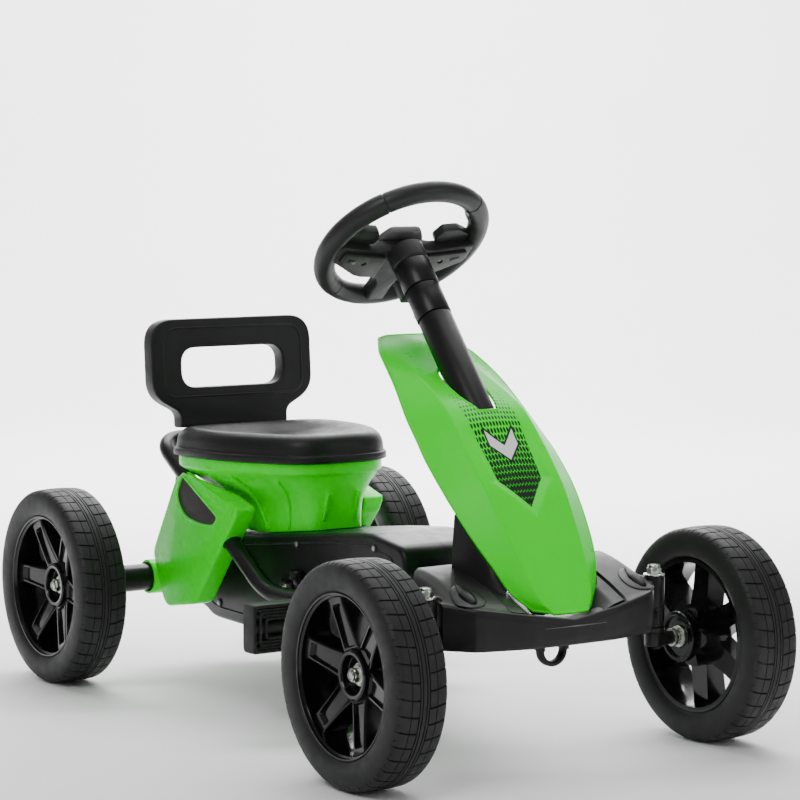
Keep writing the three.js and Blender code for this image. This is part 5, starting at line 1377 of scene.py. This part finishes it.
# ------------------------------------------------------------------ front axle
def beam():
    b1 = block("b", KX - 12, KX + 12, -KY, KY, 142, 162, None, 2.2)
    cuts = []
    for s in (-1, 1):
        cuts.append(lathe("k", [(0, 0), (6.6, 0), (6.6, 70), (0, 70)], 40, None, to_axis((KX, s * KY, 136), (0, 0, 1))))
    boolean(b1, cuts, sm=30)
    b1.data.materials.clear(); b1.data.materials.append(m_paint)
    parts = [b1]
    for s in (-1, 1):
        parts.append(pipe("s", (KX, s * KY, 141), (KX, s * KY, 199), 12.5, 6.6, m_paint, 56, 0.8))
        for z in (142.6, 162.2):
            w_ = [(KX + 12.9 * math.cos(a), s * KY + 12.9 * math.sin(a), z) for a in np.linspace(0, 2 * math.pi, 33)[:-1]]
            if z > 150: parts.append(tube("w", w_ + [w_[0]], 1.3, m_paint, 8, (0, 0, 1), 0.05))
    return unite("axle_beam", parts, m_paint, 30)
place(beam(), "root", "frame_paint", "front_axle_beam")

def knuckle(tag, s):
    k = lambda z: (KX, s * KY, z)
    parts = [cyl("kp", k(AX), k(211), 6, m_zinc, 40, 0.9),
             cyl("el", k(AX - 7.5), k(AX + 9.5), 10, m_paint, 48, 1.6),
             cyl("fl", k(134.8), k(140), 13, m_paint, 48, 0.7),
             cyl("s1", (KX, s * KY, AX), (KX, s * (TRF + 3.6), AX), 6.2, m_zinc, 36, 0.5),
             cyl("s2", (KX, s * KY, AX), (KX, s * (TRF - 52), AX), 8, m_paint, 40, 0.8),
             cyl("s3", (KX, s * KY, AX), (KX, s * (TRF + 12), AX), 5, m_zinc, 36, 0.7),
             cyl("s4", (KX, s * (TRF - 57), AX), (KX, s * (TRF - 52.2), AX), 10.5, m_zinc, 40, 0.6),
             cyl("pin", (KX - 36, s * KY, 129), (KX - 36, s * KY, 148), 3, m_zinc, 28, 0.6)]
    arm = prism("arm", rpoly([(KX - 45, s * KY - 7), (KX, s * KY - 7), (KX, s * KY + 7), (KX - 45, s * KY + 7)], 5, 5), 132, 137, m_paint, "z", None, 1.0)
    parts.append(arm)
    # rolled thread above the sleeve
    for i in range(5):
        parts.append(lathe("th", [(5.2, 200.0 + 0), (6.15, 200.6), (5.2, 201.2)], 28, m_zinc, lambda V, i=i: np.stack([KX + V[:, 0], s * KY + V[:, 1], V[:, 2] + i * 1.9], axis=1)))
    return unite(f"stub_axle_{tag}", parts, None, 30)
def king_nut(tag, s):
    a = (KX, s * KY, 201.2); b = (KX, s * KY, 208.8)
    nut = hexnut("n", a, b, 15, m_zinc, None, None)
    ws = lathe("w", round_prof([(6.4, 199.7), (12, 199.7), (12, 201.2), (9.4, 202.0), (6.4, 202.0)], 0.3), 48, m_zinc, lambda V: np.stack([KX + V[:, 0], s * KY + V[:, 1], V[:, 2]], axis=1))
    dm = lathe("d", [(6.3, 208.0), (7.0, 208.2), (7.0, 210.6), (6.6, 211.6), (6.3, 211.9)], 40, m_zinc, lambda V: np.stack([KX + V[:, 0], s * KY + V[:, 1], V[:, 2]], axis=1))
    return unite(f"flange_nut_{tag}", [nut, ws, dm], None, 28)
for tag, s in (("left", 1), ("right", -1)):
    place(knuckle(tag, s), f"knuckle_{tag}", "frame_paint", f"knuckle_{tag}")
    place(king_nut(tag, s), f"knuckle_{tag}", "zinc_plate", f"kingpin_nut_{tag}")

# ------------------------------------------------------------------- tie rods
AU = np.array([-math.sin(TILT), 0, math.cos(TILT)])
PITMAN = on_axis(448) + np.array([-math.cos(TILT), 0, -math.sin(TILT)]) * 36
def tie(tag, s):
    p = PITMAN + np.array([0, s * 10, 0])
    top, low = p + AU * 8, p - AU * 6
    kn = np.array([KX - 36, s * KY, 134])
    route = [top, (top[0] + 1, s * 52, 211), (702, s * 92, 152), (KX - 36, s * 132, 143.5), (KX - 36, s * (KY - 8.5), 143.5)]
    parts = [tube("r", fillet(route, [0, 14, 14, 8, 0], 8), 4.2, m_zinc, 20, (0, 0, 1), 0.4),
             cyl("p", low, top + AU * 3.5, 3.8, m_zinc, 28, 0.7),
             cyl("e", p + AU * 3.6, top + AU * 4.5, 7.5, m_zinc, 36, 1.0),
             pipe("k", (kn[0], kn[1], 139.6), (kn[0], kn[1], 147.6), 12, 8.0, m_zinc, 48, 0.8)]
    # adjusting sleeve with lock nuts on the rod
    a = np.array([701.0, s * 66.0, 0]);
    q0 = np.array(route[1], float); q1 = np.array(route[2], float)
    d = (q1 - q0) / np.linalg.norm(q1 - q0)
    for u in (22, 46):
        parts.append(hexnut("n", q0 + d * u, q0 + d * (u + 5), 10.5, m_zinc))
    parts.append(cyl("t", q0 + d * 27, q0 + d * 46, 4.9, m_zinc, 28, 0.4))
    return unite(f"track_rod_{tag}", parts, None, 30)
for tag, s in (("left", 1), ("right", -1)):
    place(tie(tag, s), f"tie_rod_{tag}", "zinc_plate", f"tie_rod_{tag}")

# spine with its lugs
def spine():
    b1 = block("s", -26, 721.7, -14, 14, 150, 174, m_paint, 2.0)
    l1 = prism("l1", rpoly([(CRX - 14, 152), (CRX - 14, 112), (CRX - 6, 108), (CRX + 6, 108), (CRX + 14, 112), (CRX + 14, 152)], 4, 4), -14, 14, None, "y", None, 1.2)
    boolean(l1, [lathe("k", [(0, 0), (6.5, 0), (6.5, 80), (0, 80)], 32, None, to_axis((CRX, -40, CRZ), (0, 1, 0)))], sm=30)
    l2 = prism("l2", rpoly([(-20, 152), (-20, 110), (-10, 107), (10, 107), (20, 110), (20, 152)], 4, 4), -14, 14, None, "y", None, 1.2)
    boolean(l2, [lathe("k", [(0, 0), (9.2, 0), (9.2, 80), (0, 80)], 32, None, to_axis((0, -40, AX), (0, 1, 0)))], sm=30)
    for q in (l1, l2):
        q.data.materials.clear(); q.data.materials.append(m_paint)
    return unite("spine_beam", [b1, l1, l2], m_paint, 30)
place(spine(), "root", "frame_paint", "spine_tube")


# ------------------------------------------------- CAD nodes that stay visible
FINISH = {"bare_steel": m_steel, "zinc_plate": m_zinc, "frame_paint": m_paint, "green_shell": m_green, "seat_plastic": m_seat,
          "grained_insert": m_insert, "trim_plastic": m_trim, "grip_plastic": m_grip, "pedal_plastic": m_pedal,
          "bush_plastic": m_bush, "rim_gloss_black": m_rim, "foam_tyre": m_foam}
SLOT_OF = {s["node"]: s["material_slot"] for s in rec["subparts"]}
for name, o in NODES.items():
    o.data.materials.clear()
    o.data.materials.append(FINISH[SLOT_OF[name]])
    if not o.hide_render:
        smooth(o, 38)

# ------------------------------------------------------ floor, light, camera
def floor():
    m, t, b = nt("floor")
    n = noise(t, 3, 2, 0.5)
    link(t, ramp(t, n.outputs["Fac"], [(0.3, (0.945, 0.945, 0.945)), (0.7, (0.96, 0.96, 0.96))]), b.inputs["Base Color"])
    b.inputs["Roughness"].default_value = 0.75
    me = bpy.data.meshes.new("floor")
    # paper sweep: level under the kart, turned up in a wide curve well behind it
    D, W = Vector((-0.8412, 0.5407, 0)), Vector((0.5407, 0.8412, 0))
    prof = [(-14, 0), (3.4, 0)] + [(3.4 + 2.0 * math.sin(math.radians(a)), 2.0 - 2.0 * math.cos(math.radians(a))) for a in range(3, 90, 3)] + [(5.4, 2.0), (5.4, 5.0)]
    V = [D * p + W * w + Vector((0, 0, z)) for p, z in prof for w in (-9, 9)]
    me.from_pydata(V, [], [(2 * i, 2 * i + 1, 2 * i + 3, 2 * i + 2) for i in range(len(prof) - 1)])
    me.polygons.foreach_set("use_smooth", [True] * len(me.polygons))
    me.materials.append(m)
    o = bpy.data.objects.new("floor", me)
    bpy.context.scene.collection.objects.link(o)
floor()

def area(name, loc, target, size, power, sy=None):
    l = bpy.data.lights.new(name, "AREA")
    l.energy = power
    l.shape = "RECTANGLE"; l.size = size; l.size_y = sy or size
    o = bpy.data.objects.new(name, l)
    bpy.context.scene.collection.objects.link(o)
    o.location = loc
    o.rotation_euler = (Vector(target) - Vector(loc)).to_track_quat("-Z", "Y").to_euler()
    return o
area("key", (1.6, -2.3, 2.7), (0, 0, 0.25), 1.5, 44)
area("fill", (3.0, 1.4, 1.4), (0.1, 0, 0.3), 1.2, 14)
area("top", (-0.3, 0.5, 3.0), (0, 0, 0.1), 2.6, 46)
area("rear", (-2.4, 1.6, 1.8), (0, 0, 0.3), 1.6, 24)
area("sweep", (-1.9, 1.25, 3.3), (-4.2, 2.7, 0.7), 3.4, 620)

# studio surround: bright backdrop behind the kart, dimmer towards the front
w = bpy.data.worlds.new("studio")
bpy.context.scene.world = w
w.use_nodes = True
wt = w.node_tree
tc = wt.nodes.new("ShaderNodeTexCoord")
dp = wt.nodes.new("ShaderNodeVectorMath"); dp.operation = "DOT_PRODUCT"
dp.inputs[1].default_value = (-0.84, 0.54, 0.0)
wt.links.new(tc.outputs["Generated"], dp.inputs[0])
mr = wt.nodes.new("ShaderNodeMapRange")
mr.interpolation_type = "SMOOTHSTEP"
mr.inputs["From Min"].default_value = 0.45
mr.inputs["From Max"].default_value = 0.88
mr.inputs["To Min"].default_value = 0.30
mr.inputs["To Max"].default_value = 3.6
wt.links.new(dp.outputs["Value"], mr.inputs["Value"])
wt.nodes["Background"].inputs["Color"].default_value = (0.96, 0.97, 0.98, 1)
# the backdrop falls off slightly towards the floor
sx = wt.nodes.new("ShaderNodeSeparateXYZ")
wt.links.new(tc.outputs["Generated"], sx.inputs[0])
mz = wt.nodes.new("ShaderNodeMapRange")
mz.interpolation_type = "SMOOTHSTEP"
mz.inputs["From Min"].default_value = -0.02
mz.inputs["From Max"].default_value = 0.16
mz.inputs["To Min"].default_value = 0.5
mz.inputs["To Max"].default_value = 1.0
wt.links.new(sx.outputs["Z"], mz.inputs["Value"])
ml = wt.nodes.new("ShaderNodeMath"); ml.operation = "MULTIPLY"
wt.links.new(mr.outputs["Result"], ml.inputs[0])
wt.links.new(mz.outputs["Result"], ml.inputs[1])
wt.links.new(ml.outputs[0], wt.nodes["Background"].inputs["Strength"])

cam = bpy.data.cameras.new("camera")
co = bpy.data.objects.new("camera", cam)
bpy.context.scene.collection.objects.link(co)
cam.sensor_width = 36
cam.lens = 126.94
cam.clip_end = 100
az, el = 2.5674, 0.0907
co.location = M((3269.38, -1829.58, 692.97))
d = Vector((math.cos(az) * math.cos(el), math.sin(az) * math.cos(el), -math.sin(el)))
co.rotation_euler = d.to_track_quat("-Z", "Y").to_euler()
bpy.context.scene.camera = co

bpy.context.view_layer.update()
import json
